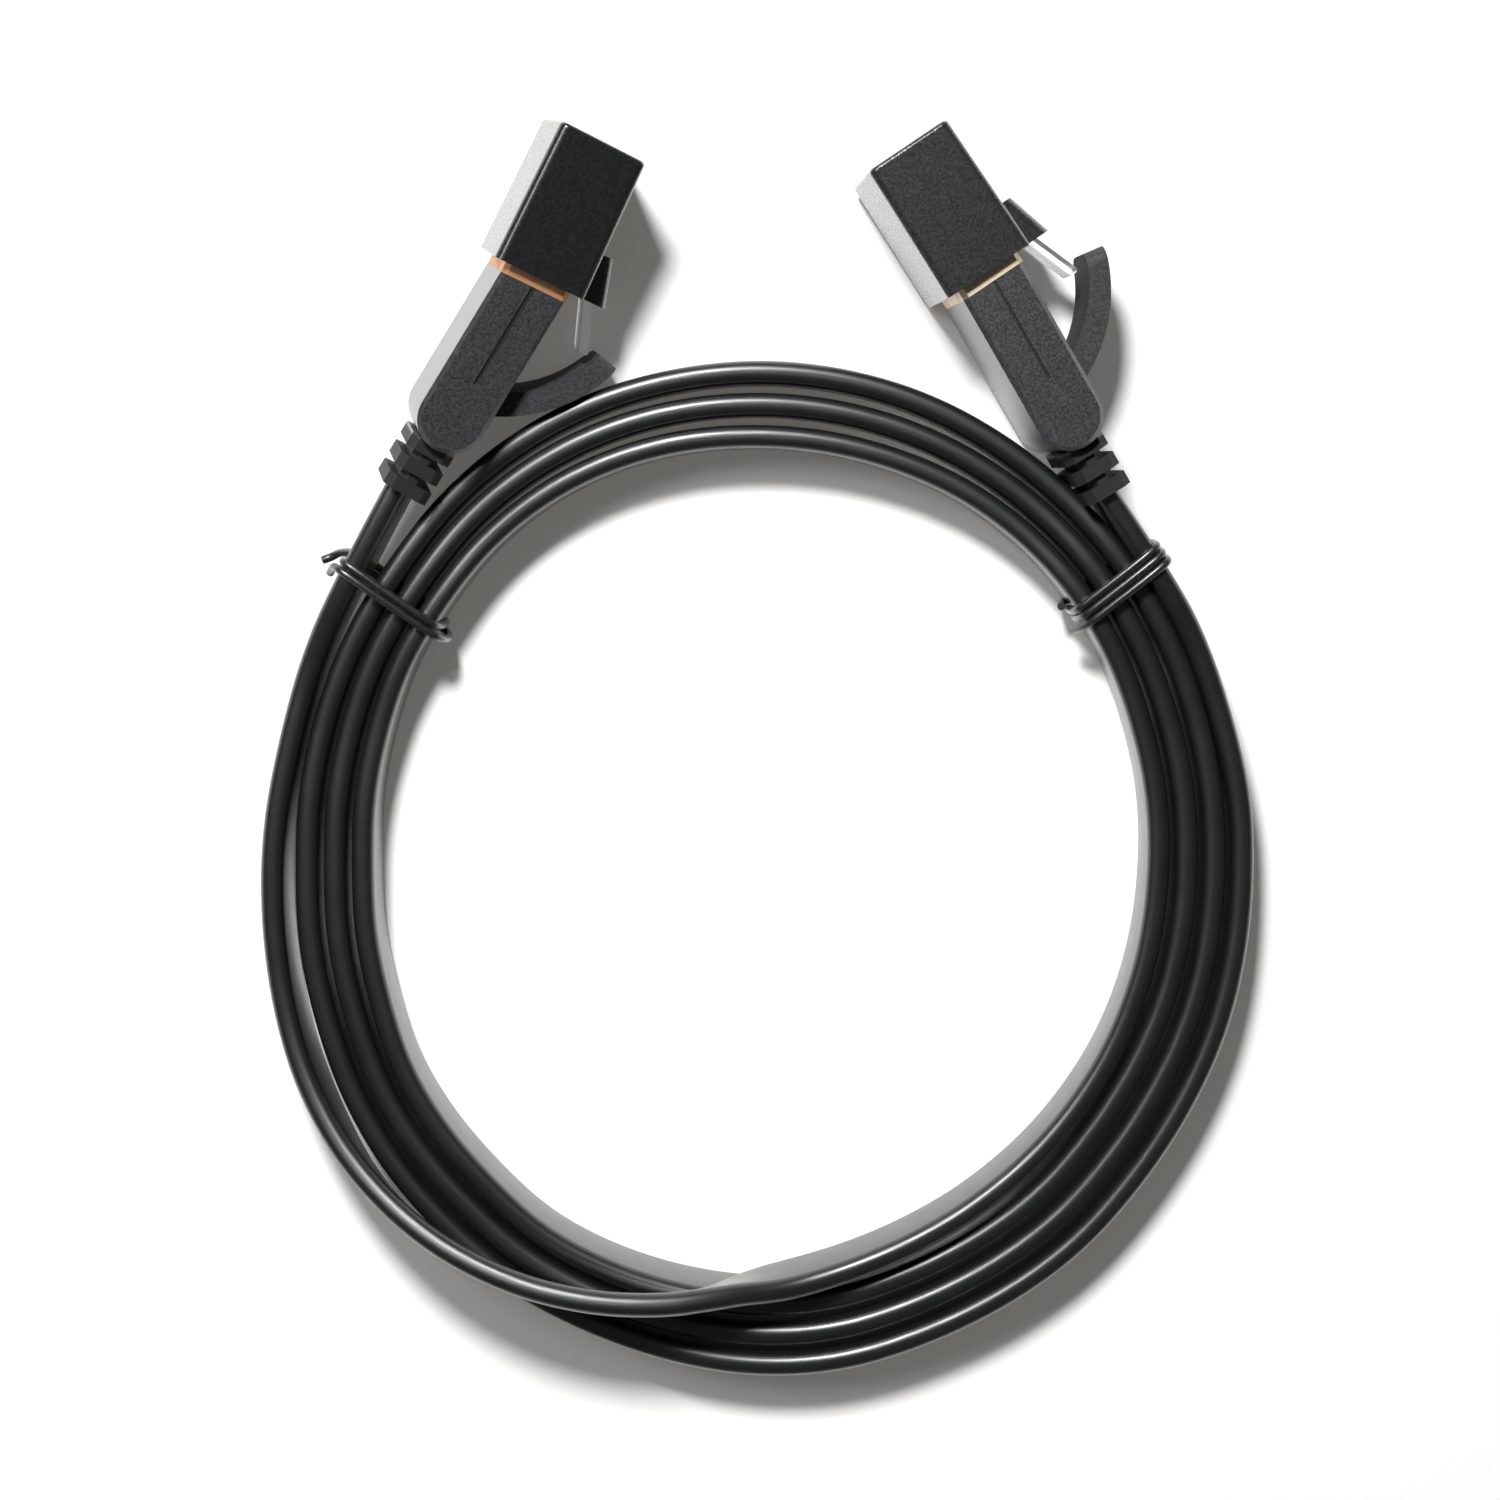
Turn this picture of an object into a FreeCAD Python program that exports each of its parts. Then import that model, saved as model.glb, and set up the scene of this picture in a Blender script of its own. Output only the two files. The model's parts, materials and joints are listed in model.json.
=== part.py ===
import FreeCAD, Part
import math
import os

Vec = FreeCAD.Vector

# A flat network cable, wound into a ring that stands on the cable's edge, with a capped plug at each end.
# All sizes are in millimetres and degrees. The floor is z = 0.

# Flat cable
CABLE_WIDTH = 7.0
CABLE_THICK = 2.2
CABLE_CHAMFER = 0.6

# Ring of turns, numbered from 1 outside to 4 inside, a little longer than round
RING_OUTER_R = 47.9
TURN_PITCH = 2.45
RING_TURNS = 4
RING_STRETCH = 1.6
LEFT_LEAVE_DEG = 172.0
RIGHT_LEAVE_DEG = 8.0

# The outer turn climbs over the other turns and comes down inside them
CROSS_BEND_R = 30.0
CROSS_BEND_DEG = 210.0
CROSS_SINK = 0.4
HUMP_RISE_DEG = 190.0
HUMP_TOP_DEG = 224.0
HUMP_FALL_DEG = 290.0
HUMP_FLOOR_DEG = 332.0

# Leads: straight runs between the ring and the boots
LEFT_FIRST_RUN = 5.0
LEFT_PLUG_RUN = 9.0
RIGHT_FIRST_RUN = 7.0
RIGHT_PLUG_RUN = 8.8
LEAD_FOOT_RISE = 0.25
BEND_SHARE = 0.45

# Wire ties, wound side by side, with their ends left standing out
TIE_WIRE_D = 0.8
TIE_VALLEY = 0.2
TIE_CORNER_R = 0.9
TIE_CLEAR = 0.15
TIE_GROOVE_ROOM = 0.35
TIE_TAIL = 2.0
TIE_TAIL_RISE = 0.4
TIE_TAIL_LEAN = 0.4
LEFT_TIE_DEG = 143.1
LEFT_TIE_LOOPS = 2
LEFT_TIE_TAILS = 2
RIGHT_TIE_DEG = 38.1
RIGHT_TIE_LOOPS = 3
RIGHT_TIE_TAILS = 1

# Plug body, in its own frame: x runs back from the nose, y across, z up to the latch side
PLUG_WIDTH = 11.68
PLUG_HEIGHT = 6.6
PLUG_LENGTH = 13.7
PLUG_CHAMFER = 0.5
TAIL_LENGTH = 5.0
TAIL_WALL = 0.45
FIT_CLEAR = 0.05

# Contacts and wires
CONTACTS = 8
CONTACT_PITCH = 1.02
CONTACT_THICK = 0.33
CONTACT_FRONT = 0.45
CONTACT_BACK = 5.6
CONTACT_LOW = 0.55
CONTACT_CHAMFER = 0.6
CONTACT_GAP = 0.08
SLOT_CLEAR = 0.06
WIRE_D = 0.86
WIRE_SIDES = 6
WIRE_Z = 2.98
WIRE_FRONT = 4.0
WIRE_CLEAR = 0.04
CAVITY_FRONT = 3.6
CAVITY_LOW = 1.5
CAVITY_SIDE = 0.62
CAVITY_HEADROOM = 0.2
LOAD_BAR_FRONT = 6.2
LOAD_BAR_LENGTH = 4.0

# Shield
SHEET = 0.25
SHIELD_FRONT = 2.6
SHIELD_BELLY_FRONT = 7.2
SHIELD_ROOF_LENGTH = 2.5
SHIELD_SHOWN = 1.0
SHIELD_WINDOW_X = 5.2
SHIELD_WINDOW_LENGTH = 2.4
SHIELD_WINDOW_HEIGHT = 1.5
SNAP_CLEAR = 0.08

# Latch lever: it lies low under the cap, steps up at the knee and stands out behind the plug
LATCH_THICK = 1.0
LATCH_HINGE_X = 1.0
LATCH_HINGE_Z = 5.4
LATCH_ROOT_R = 0.62
LATCH_ROOT_CLEAR = 0.12
LATCH_ROOT_TOP = 6.0
LATCH_SHOULDER_BACK = 5.1
LATCH_SHOULDER_TOP = 6.6
LATCH_KNEE_BACK = 2.1
LATCH_KNEE_TOP = 9.2
LATCH_TIP_OUT = 3.8
LATCH_TIP_TOP = 11.4
LATCH_TIP_R = 0.35
LATCH_ROOT_WIDTH = 6.0
LATCH_TAIL_WIDTH = 3.3
LATCH_SIDE_CLEAR = 0.3
WELL_FLOOR = 4.2
WELL_STEP_ROOM = 1.4

# Dust cap, a little wider at its mouth than at its nose, with a wedge-shaped hood for the latch
CAP_WALL = 0.7
CAP_CLEAR = 0.3
CAP_DRAFT = 0.25
CAP_FRONT_WALL = 0.7
CAP_EDGE_R = 0.8
CAP_NOSE_R = 0.4
CAP_HOOD_LENGTH = 4.5
CAP_HOOD_FRONT_HEIGHT = 1.5
CAP_HOOD_REAR_HEIGHT = 2.8
CAP_HOOD_R = 1.3

# Boot with fin, seam and strain relief
BOOT_LENGTH = 17.6
BOOT_WIDTH = 11.8
BOOT_HEIGHT = 6.45
BOOT_DROP = 0.05
BOOT_CHAMFER = 0.4
BOOT_TRIM = 1.0
SEAM_LENGTH = 10.5
SEAM_WIDTH = 0.3
SEAM_DEPTH = 0.2
FIN_WIDTH = 6.4
FIN_TIP_BACK = 2.15
FIN_TIP_RISE = 7.1
FIN_TIP_THICK = 1.95
FIN_TIP_LEAN = 0.25
FIN_ROOT_FRONT = 10.1
FIN_ROOT_LENGTH = 2.6
FIN_INNER_BULGE = 1.1
FIN_OUTER_BULGE = 1.6
FIN_TIP_R = 1.4
FIN_SINK = 0.6
RELIEF_LENGTH = 5.2
RELIEF_RIBS = 3
RIB_THICK = 1.3
RIB_PITCH = 2.1
RIB_WIDTH = 9.0
RIB_HEIGHT = 4.5
RIB_CHAMFER = 0.8
RELIEF_CORE_WIDTH = 7.9
RELIEF_CORE_HEIGHT = 2.6

# Where the two plugs lie: the end of the strain relief, as a way out from the ring and an angle round it,
# then the nose's heading from +y towards +x, the roll that tips the upper side to +x, the tail's droop,
# and how far the soft boot is bent aside on the plug
LEFT_END_OUT = 1.65
LEFT_END_DEG = 132.76
LEFT_HEADING_DEG = 26.2
LEFT_ROLL_DEG = 15.9
LEFT_DROOP_DEG = 4.0
LEFT_BOOT_DEG = 5.9
RIGHT_END_OUT = 0.9
RIGHT_END_DEG = 47.08
RIGHT_HEADING_DEG = -33.8
RIGHT_ROLL_DEG = 2.6
RIGHT_DROOP_DEG = 2.8
RIGHT_BOOT_DEG = 3.3

# Cuts run past the surface by CUT_OVER, edges are picked within PICK, surfaces are sampled at SAMPLE,
# and an edge counts as lengthwise when this share of its direction lies along the plug
CUT_OVER = 1.0
PICK = 0.01
SAMPLE = 0.02
LENGTHWISE = 0.9

# Worked out from the sizes above
HALF_THICK = CABLE_THICK / 2
HALF_CABLE = CABLE_WIDTH / 2
HALF_TIE = TIE_WIRE_D / 2
HALF_PLUG = PLUG_WIDTH / 2
CAVITY_HALF = HALF_PLUG - SHEET - CAVITY_SIDE
CAVITY_TOP = WIRE_Z + WIRE_D / 2 + CAVITY_HEADROOM
CONTACT_TOP = WIRE_Z - WIRE_D / 2 - CONTACT_GAP
LATCH_SHOULDER_X = PLUG_LENGTH - LATCH_SHOULDER_BACK
LATCH_KNEE_X = PLUG_LENGTH - LATCH_KNEE_BACK
LATCH_TIP_X = PLUG_LENGTH + LATCH_TIP_OUT
CAP_FRONT_X = -CAP_CLEAR - CAP_FRONT_WALL
CAP_REAR_X = PLUG_LENGTH - SHIELD_SHOWN
BOOT_END_X = PLUG_LENGTH + BOOT_LENGTH
BOOT_MIDDLE_Z = BOOT_HEIGHT / 2 - BOOT_DROP
BOOT_TOP_Z = BOOT_HEIGHT - BOOT_DROP
RELIEF_END_X = BOOT_END_X + RELIEF_LENGTH


def turn_r(turn):
    """Middle radius of a turn of the ring."""
    return RING_OUTER_R - HALF_THICK - (turn - 1) * TURN_PITCH


def polar(radius, degrees, z=0.0):
    """Point round the ring's centre."""
    return Vec(radius * math.cos(math.radians(degrees)), radius * math.sin(math.radians(degrees)), z)


def line(a, b):
    return Part.LineSegment(a, b).toShape()


def arc(a, middle, b):
    return Part.Arc(a, middle, b).toShape()


def closed_face(edges):
    return Part.Face(Part.Wire(edges))


def polygon_wire(points):
    return Part.makePolygon(points + points[:1])


def polygon_face(points):
    return Part.Face(polygon_wire(points))


def block(x0, x1, y0, y1, z0, z1):
    return Part.makeBox(x1 - x0, y1 - y0, z1 - z0, Vec(x0, y0, z0))


def side_prism(points, half_width):
    """Outline in the plug's x-z plane, given thickness across y."""
    face = polygon_face([Vec(x, -half_width, z) for x, z in points])
    return face.extrude(Vec(0, 2 * half_width, 0))


def long_edges(shape):
    """Edges that run along the plug."""
    return [e for e in shape.Edges if abs(e.tangentAt(e.FirstParameter).x) > LENGTHWISE]


def chamfered_outline(half_u, half_v, chamfer):
    """Corners of a rectangle with its corners cut off."""
    u = half_u - chamfer
    v = half_v - chamfer
    upper = [(half_u, v), (u, half_v), (-u, half_v), (-half_u, v)]
    lower = [(-a, -b) for a, b in upper]
    return upper + lower


def chamfered_bar(x0, x1, half_y, middle_z, half_z, chamfer):
    """Bar along x with a chamfered rectangular section."""
    outline = chamfered_outline(half_y, half_z, chamfer)
    return polygon_face([Vec(x0, y, middle_z + z) for y, z in outline]).extrude(Vec(x1 - x0, 0, 0))


def turns_section(inner_r, count):
    """Section of turns that lie side by side, with chamfered upper edges, in the x-z plane."""
    flat = HALF_THICK - CABLE_CHAMFER
    high = CABLE_WIDTH - CABLE_CHAMFER
    outer_r = inner_r + (count - 1) * TURN_PITCH
    outline = [(inner_r - HALF_THICK, 0), (inner_r - HALF_THICK, high)]
    for i in range(count):
        r = inner_r + i * TURN_PITCH
        if i:
            outline += [(r - TURN_PITCH / 2, high)]
        outline += [(r - flat, CABLE_WIDTH), (r + flat, CABLE_WIDTH)]
    outline += [(outer_r + HALF_THICK, high), (outer_r + HALF_THICK, 0)]
    return polygon_face([Vec(x, 0, z) for x, z in outline])


def turns_arc(centre_x, inner_r, count, start_deg, sweep_deg):
    """Turns side by side, bent round a centre on the x axis."""
    section = turns_section(inner_r, count)
    section.translate(Vec(centre_x, 0, 0))
    section.rotate(Vec(centre_x, 0, 0), Vec(0, 0, 1), start_deg)
    return section.revolve(Vec(centre_x, 0, 0), Vec(0, 0, 1), sweep_deg)


def ring_arc(centre, radius, start_deg, end_deg):
    start, middle, end = [centre + polar(radius, d) for d in (start_deg, (start_deg + end_deg) / 2, end_deg)]
    return arc(start, middle, end)


def crossing_edges(offset):
    """Plan of the crossing turn's side: outer turn, tight bend, straight stretch, inner turn."""
    outer_r = turn_r(1)
    inner_r = turn_r(RING_TURNS)
    origin = Vec(0, 0, 0)
    bend_centre = polar(outer_r - CROSS_BEND_R, CROSS_BEND_DEG)
    bend_end = CROSS_BEND_DEG + math.degrees(math.acos((inner_r - CROSS_BEND_R) / (outer_r - CROSS_BEND_R)))
    return [
        ring_arc(origin, outer_r + offset, 180.0, CROSS_BEND_DEG),
        ring_arc(bend_centre, CROSS_BEND_R + offset, CROSS_BEND_DEG, bend_end),
        line(bend_centre + polar(CROSS_BEND_R + offset, bend_end), polar(inner_r + offset, bend_end)),
        ring_arc(origin, inner_r + offset, bend_end, 360.0),
    ]


def swell(x0, z0, x1, z1):
    """Two tangent arcs from one level to another, in the x-z plane."""
    dx = x1 - x0
    dz = z1 - z0
    radius = (dx * dx + dz * dz) / (4 * abs(dz))
    sign = math.copysign(1.0, dz)
    half_turn = math.asin(dx / 2 / radius) / 2
    reach = radius * math.sin(half_turn)
    lift = sign * radius * (1 - math.cos(half_turn))
    middle = Vec(x0 + dx / 2, 0, z0 + dz / 2)
    first = arc(Vec(x0, 0, z0), Vec(x0 + reach, 0, z0 + lift), middle)
    second = arc(middle, Vec(x1 - reach, 0, z1 - lift), Vec(x1, 0, z1))
    return [first, second]


def hump_band():
    """Everything between the under and the upper edge of the crossing turn, seen from the side."""
    reach = RING_OUTER_R + CABLE_WIDTH
    lift = CABLE_WIDTH - CROSS_SINK
    rise_x = polar(turn_r(1), HUMP_RISE_DEG).x
    top_x = polar(turn_r(1), HUMP_TOP_DEG).x
    fall_x = polar(turn_r(RING_TURNS), HUMP_FALL_DEG).x
    floor_x = polar(turn_r(RING_TURNS), HUMP_FLOOR_DEG).x
    under = [line(Vec(-reach, 0, 0), Vec(rise_x, 0, 0))]
    under += swell(rise_x, 0, top_x, lift)
    under += [line(Vec(top_x, 0, lift), Vec(fall_x, 0, lift))]
    under += swell(fall_x, lift, floor_x, 0)
    under += [line(Vec(floor_x, 0, 0), Vec(reach, 0, 0))]
    upper = [edge.copy() for edge in under]
    for edge in upper:
        edge.translate(Vec(0, 0, CABLE_WIDTH))
    ends = [line(Vec(x, 0, 0), Vec(x, 0, CABLE_WIDTH)) for x in (-reach, reach)]
    band = closed_face(Part.__sortEdges__(under + upper + ends))
    band.translate(Vec(0, -reach, 0))
    return band.extrude(Vec(0, 2 * reach, 0))


def make_crossing_turn():
    """The turn that starts outside at the left and ends inside at the right."""
    outer = crossing_edges(HALF_THICK)
    inner = crossing_edges(-HALF_THICK)
    ends = [line(polar(turn_r(turn) - HALF_THICK, a), polar(turn_r(turn) + HALF_THICK, a))
            for turn, a in ((1, 180.0), (RING_TURNS, 360.0))]
    plan = closed_face(Part.__sortEdges__(outer + inner + ends))
    return plan.extrude(Vec(0, 0, 2 * CABLE_WIDTH)).common(hump_band())


def tie_groove(degrees, loops):
    """The tie's wires are pulled up into the soft jackets, level with the floor."""
    half_band = loops * HALF_TIE + TIE_CLEAR
    reach = RING_OUTER_R + CABLE_WIDTH
    groove = block(0, reach, -half_band, half_band, -CUT_OVER, TIE_WIRE_D + TIE_GROOVE_ROOM)
    groove.rotate(Vec(0, 0, 0), Vec(0, 0, 1), degrees)
    return groove


def make_coil():
    """The ring: three turns above, four at the sides, and one that crosses over three below."""
    inner_r = turn_r(RING_TURNS)
    kept = RING_TURNS - 1
    shift = TURN_PITCH / 2
    down = Vec(0, -RING_STRETCH, 0)
    above = turns_arc(0, inner_r, kept, 0, 180)
    pieces = [
        turns_arc(0, turn_r(1), 1, 0, RIGHT_LEAVE_DEG),
        turns_arc(0, turn_r(1), 1, LEFT_LEAVE_DEG, 180 - LEFT_LEAVE_DEG),
    ]
    for start_deg in (0, 180):
        section = turns_section(inner_r, RING_TURNS)
        section.rotate(Vec(0, 0, 0), Vec(0, 0, 1), start_deg)
        pieces.append(section.extrude(down))
    for lower in (turns_arc(shift, inner_r + shift, kept, 180, 180), make_crossing_turn()):
        lower.translate(down)
        pieces.append(lower)
    coil = above.fuse(pieces).removeSplitter()
    for degrees, loops in ((LEFT_TIE_DEG, LEFT_TIE_LOOPS), (RIGHT_TIE_DEG, RIGHT_TIE_LOOPS)):
        coil = coil.cut(tie_groove(degrees, loops))
    return coil


def rounded_path(points, radius, closed):
    """Straight runs joined by tangent arcs. With no radius, each is as large as its runs allow."""
    count = len(points)
    corners = range(count) if closed else range(1, count - 1)
    starts = {}
    ends = {}
    edges = []
    radii = []
    for i in corners:
        back = points[i - 1] - points[i]
        ahead = points[(i + 1) % count] - points[i]
        half_turn = (math.pi - back.getAngle(ahead)) / 2
        corner_r = radius or BEND_SHARE * min(back.Length, ahead.Length) / math.tan(half_turn)
        cut = corner_r * math.tan(half_turn)
        back.normalize()
        ahead.normalize()
        inward = back + ahead
        inward.normalize()
        middle = points[i] + inward * (corner_r / math.cos(half_turn) - corner_r)
        starts[i] = points[i] + back * cut
        ends[i] = points[i] + ahead * cut
        edges.append(arc(starts[i], middle, ends[i]))
        radii.append(corner_r)
    for i in range(count if closed else count - 1):
        j = (i + 1) % count
        edges.append(line(ends.get(i, points[i]), starts.get(j, points[j])))
    return Part.Wire(Part.__sortEdges__(edges)), radii


def sweep(outline, across, path):
    """Solid that a section makes along a path, with the outline's first axis across the path's start."""
    first = path.Edges[0]
    at = first.valueAt(first.FirstParameter)
    out = first.tangentAt(first.FirstParameter).cross(across)
    section = polygon_wire([at + across * u + out * v for u, v in outline])
    return path.makePipeShell([section], True, False)


def flat_sweep(outline, across, path):
    """Solid that a section makes along a path in one plane, run by run and bend by bend."""
    pieces = []
    for edge in path.Edges:
        at = edge.valueAt(edge.FirstParameter)
        out = edge.tangentAt(edge.FirstParameter).cross(across)
        section = polygon_face([at + across * u + out * v for u, v in outline])
        if isinstance(edge.Curve, Part.Circle):
            turn = math.degrees(edge.LastParameter - edge.FirstParameter)
            pieces.append(section.revolve(edge.Curve.Center, edge.Curve.Axis, turn))
        else:
            pieces.append(section.extrude(edge.valueAt(edge.LastParameter) - at))
    return pieces[0].fuse(pieces[1:]).removeSplitter()


def frame_at(origin, x_axis, y_axis, z_axis):
    return FreeCAD.Placement(FreeCAD.Matrix(
        x_axis.x, y_axis.x, z_axis.x, origin.x,
        x_axis.y, y_axis.y, z_axis.y, origin.y,
        x_axis.z, y_axis.z, z_axis.z, origin.z,
        0, 0, 0, 1))


def lead_points(leave_deg, heading_sign, first_run, plug_run, boot_place):
    """Route from the ring's outer turn to the end of the strain relief."""
    start = polar(turn_r(1), leave_deg, HALF_CABLE)
    tangent = polar(heading_sign, leave_deg + 90)
    end = boot_place.multVec(Vec(RELIEF_END_X, 0, BOOT_MIDDLE_Z))
    backward = boot_place.Rotation.multVec(Vec(1, 0, 0))
    near_plug = end + backward * plug_run
    foot = near_plug + backward * plug_run
    foot.z = HALF_CABLE + LEAD_FOOT_RISE
    return [start, start + tangent * first_run, foot, near_plug, end]


def make_lead(name, points):
    """The cable's own section, standing on edge, along a route."""
    path, radii = rounded_path(points, None, False)
    across = Vec(0, 0, 1).cross(points[1] - points[0])
    across.normalize()
    lead = sweep(chamfered_outline(HALF_THICK, HALF_CABLE, CABLE_CHAMFER), across, path)
    plain = (CABLE_THICK * CABLE_WIDTH - 2 * CABLE_CHAMFER ** 2) * path.Length
    print(name, "length %.2f" % path.Length, "radii", ["%.1f" % r for r in radii])
    print(name, "volume %.2f of %.2f" % (lead.Volume, plain))
    return lead


def lead_at(route, degrees):
    """Radius and height at which a lead passes a given angle round the ring."""
    across = polar(1, degrees + 90)
    for a, b in zip(route, route[1:]):
        share = a.dot(across) / (a - b).dot(across)
        if 0 <= share < 1:
            at = a + (b - a) * share
    return math.hypot(at.x, at.y), at.z


def tie_outline(loops):
    """Section of wires that lie side by side: flat inside, with a ridge for each wire outside."""
    half_band = loops * HALF_TIE
    outline = [(-half_band, HALF_TIE), (half_band, HALF_TIE), (half_band, -TIE_VALLEY)]
    for i in range(loops):
        right = half_band - i * TIE_WIRE_D
        outline += [(right - HALF_TIE, -HALF_TIE), (right - TIE_WIRE_D, -TIE_VALLEY)]
    return outline


def make_tie(degrees, loops, tails, route):
    """Wire wound round the ring and the lead, with its ends outside."""
    gap = TIE_CLEAR + HALF_TIE
    half_band_deg = math.degrees(loops * HALF_TIE / RING_OUTER_R)
    passes = [lead_at(route, degrees + side * half_band_deg) for side in (-1, 1)]
    lead_r = max(r for r, z in passes)
    lead_z = max(z for r, z in passes)
    inner_r = turn_r(RING_TURNS) - HALF_THICK - gap
    outer_r = lead_r + HALF_THICK + gap
    lead_high = lead_z + HALF_CABLE + gap
    low = [(inner_r, HALF_TIE), (outer_r, HALF_TIE)]
    high = [(outer_r, lead_high), (lead_r - HALF_THICK, lead_high), (inner_r, CABLE_WIDTH + gap)]
    path, radii = rounded_path([polar(r, degrees, z) for r, z in low + high], TIE_CORNER_R, True)
    band = flat_sweep(tie_outline(loops), polar(1, degrees + 90), path)
    stubs = []
    for i in range(tails):
        aside = (i - (tails - 1) / 2) * TIE_WIRE_D
        root = polar(outer_r, degrees, CABLE_WIDTH - i * TIE_TAIL) + polar(aside, degrees + 90)
        reach = polar(TIE_TAIL, degrees, TIE_TAIL_RISE) + polar((-1) ** i * TIE_TAIL_LEAN, degrees + 90)
        stubs.append(Part.makeCylinder(HALF_TIE, reach.Length, root, reach))
    return band.fuse(stubs).removeSplitter()


def contact_y(i):
    return (i - (CONTACTS - 1) / 2) * CONTACT_PITCH


def make_latch():
    """Springy lever: a wide root, shoulders that catch the jack, and a narrow tail for the finger."""
    top = [(LATCH_HINGE_X, LATCH_ROOT_TOP), (LATCH_SHOULDER_X, LATCH_SHOULDER_TOP),
           (LATCH_KNEE_X, LATCH_KNEE_TOP), (LATCH_TIP_X, LATCH_TIP_TOP)]
    under = [(x, z - LATCH_THICK) for x, z in reversed(top)]
    half = LATCH_ROOT_WIDTH / 2
    lever = side_prism(top + under, half)
    for side in (-1, 1):
        y0, y1 = sorted((side * LATCH_TAIL_WIDTH / 2, side * LATCH_ROOT_WIDTH))
        lever = lever.cut(block(LATCH_SHOULDER_X, LATCH_TIP_X + CUT_OVER, y0, y1, 0, 2 * PLUG_HEIGHT))
    tip_edges = [e for e in lever.Edges
                 if e.BoundBox.XMin > LATCH_TIP_X - PICK and e.BoundBox.YLength > PICK]
    lever = lever.makeFillet(LATCH_TIP_R, tip_edges)
    pivot = Vec(LATCH_HINGE_X, -half, LATCH_HINGE_Z)
    root = Part.makeCylinder(LATCH_ROOT_R, LATCH_ROOT_WIDTH, pivot, Vec(0, 1, 0))
    return lever.fuse(root).removeSplitter()


def make_housing():
    """Clear plug body: nose, slotted floor, well for the latch, wire cavity and a tail inside the boot."""
    skin = SHEET + FIT_CLEAR
    middle_z = PLUG_HEIGHT / 2
    nose = chamfered_bar(0, SHIELD_FRONT, HALF_PLUG, middle_z, middle_z, PLUG_CHAMFER)
    core = chamfered_bar(0, PLUG_LENGTH, HALF_PLUG - skin, middle_z, middle_z - skin, PLUG_CHAMFER - SHEET)
    tail_half = CAVITY_HALF + TAIL_WALL
    tail = block(PLUG_LENGTH, PLUG_LENGTH + TAIL_LENGTH, -tail_half, tail_half,
                 CAVITY_LOW - TAIL_WALL, CAVITY_TOP + TAIL_WALL)
    nubs = [shield_snap(side, SNAP_CLEAR) for side in (-1, 1)]
    body = nose.fuse([core, tail] + nubs)
    well_half = LATCH_ROOT_WIDTH / 2 + LATCH_SIDE_CLEAR
    channel_half = LATCH_TAIL_WIDTH / 2 + LATCH_SIDE_CLEAR
    well_x = LATCH_SHOULDER_X + WELL_STEP_ROOM
    high = PLUG_HEIGHT + CUT_OVER
    behind = PLUG_LENGTH + TAIL_LENGTH + CUT_OVER
    slot_half = CONTACT_THICK / 2 + SLOT_CLEAR
    cuts = [
        block(CAVITY_FRONT, behind, -CAVITY_HALF, CAVITY_HALF, CAVITY_LOW, CAVITY_TOP),
        block(-CUT_OVER, well_x, -well_half, well_half, WELL_FLOOR, high),
        block(well_x - CUT_OVER, PLUG_LENGTH + CUT_OVER, -channel_half, channel_half, WELL_FLOOR, high),
    ]
    for i in range(CONTACTS):
        y = contact_y(i)
        cuts.append(block(-CUT_OVER, CONTACT_BACK + SLOT_CLEAR, y - slot_half, y + slot_half,
                          -CUT_OVER, CONTACT_TOP + SLOT_CLEAR))
    return body.cut(cuts[0].fuse(cuts[1:])).fuse(latch_cradle()).removeSplitter()


def latch_cradle():
    """Seat of the lever's root at the nose."""
    top = LATCH_HINGE_Z - LATCH_ROOT_R + LATCH_ROOT_CLEAR
    half = LATCH_ROOT_WIDTH / 2
    seat = block(LATCH_HINGE_X - LATCH_ROOT_R, LATCH_HINGE_X + LATCH_ROOT_R, -half, half, WELL_FLOOR, top)
    hollow = Part.makeCylinder(LATCH_ROOT_R + LATCH_ROOT_CLEAR, 2 * LATCH_ROOT_WIDTH,
                               Vec(LATCH_HINGE_X, -LATCH_ROOT_WIDTH, LATCH_HINGE_Z), Vec(0, 1, 0))
    return seat.cut(hollow)


def shield_snap(side, clear):
    """Snap nub of the plug body in the shield's side window, or the window itself with no clearance."""
    half_height = SHIELD_WINDOW_HEIGHT / 2 - clear
    middle = PLUG_HEIGHT / 2
    y0, y1 = sorted((side * (HALF_PLUG - 2 * SHEET), side * HALF_PLUG))
    return block(SHIELD_WINDOW_X + clear, SHIELD_WINDOW_X + SHIELD_WINDOW_LENGTH - clear, y0, y1,
                 middle - half_height, middle + half_height)


def make_shield():
    """Formed sheet round the plug body, open over the contacts and over the latch."""
    middle_z = PLUG_HEIGHT / 2
    front = SHIELD_FRONT - CUT_OVER
    back = PLUG_LENGTH + CUT_OVER
    low = PLUG_HEIGHT - CUT_OVER
    high = PLUG_HEIGHT + CUT_OVER
    outside = chamfered_bar(SHIELD_FRONT, PLUG_LENGTH, HALF_PLUG, middle_z, middle_z, PLUG_CHAMFER)
    inside = chamfered_bar(front, back, HALF_PLUG - SHEET, middle_z, middle_z - SHEET, PLUG_CHAMFER - SHEET)
    lip = HALF_PLUG - PLUG_CHAMFER - SHEET
    channel_half = LATCH_TAIL_WIDTH / 2 + LATCH_SIDE_CLEAR + FIT_CLEAR
    openings = [
        block(front, SHIELD_BELLY_FRONT, -lip, lip, -CUT_OVER, SHEET + CUT_OVER),
        block(front, PLUG_LENGTH - SHIELD_ROOF_LENGTH, -lip, lip, low, high),
        block(front, back, -channel_half, channel_half, low, high),
    ]
    windows = [shield_snap(side, 0.0) for side in (-1, 1)]
    return outside.cut(inside.fuse(openings + windows))


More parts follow.
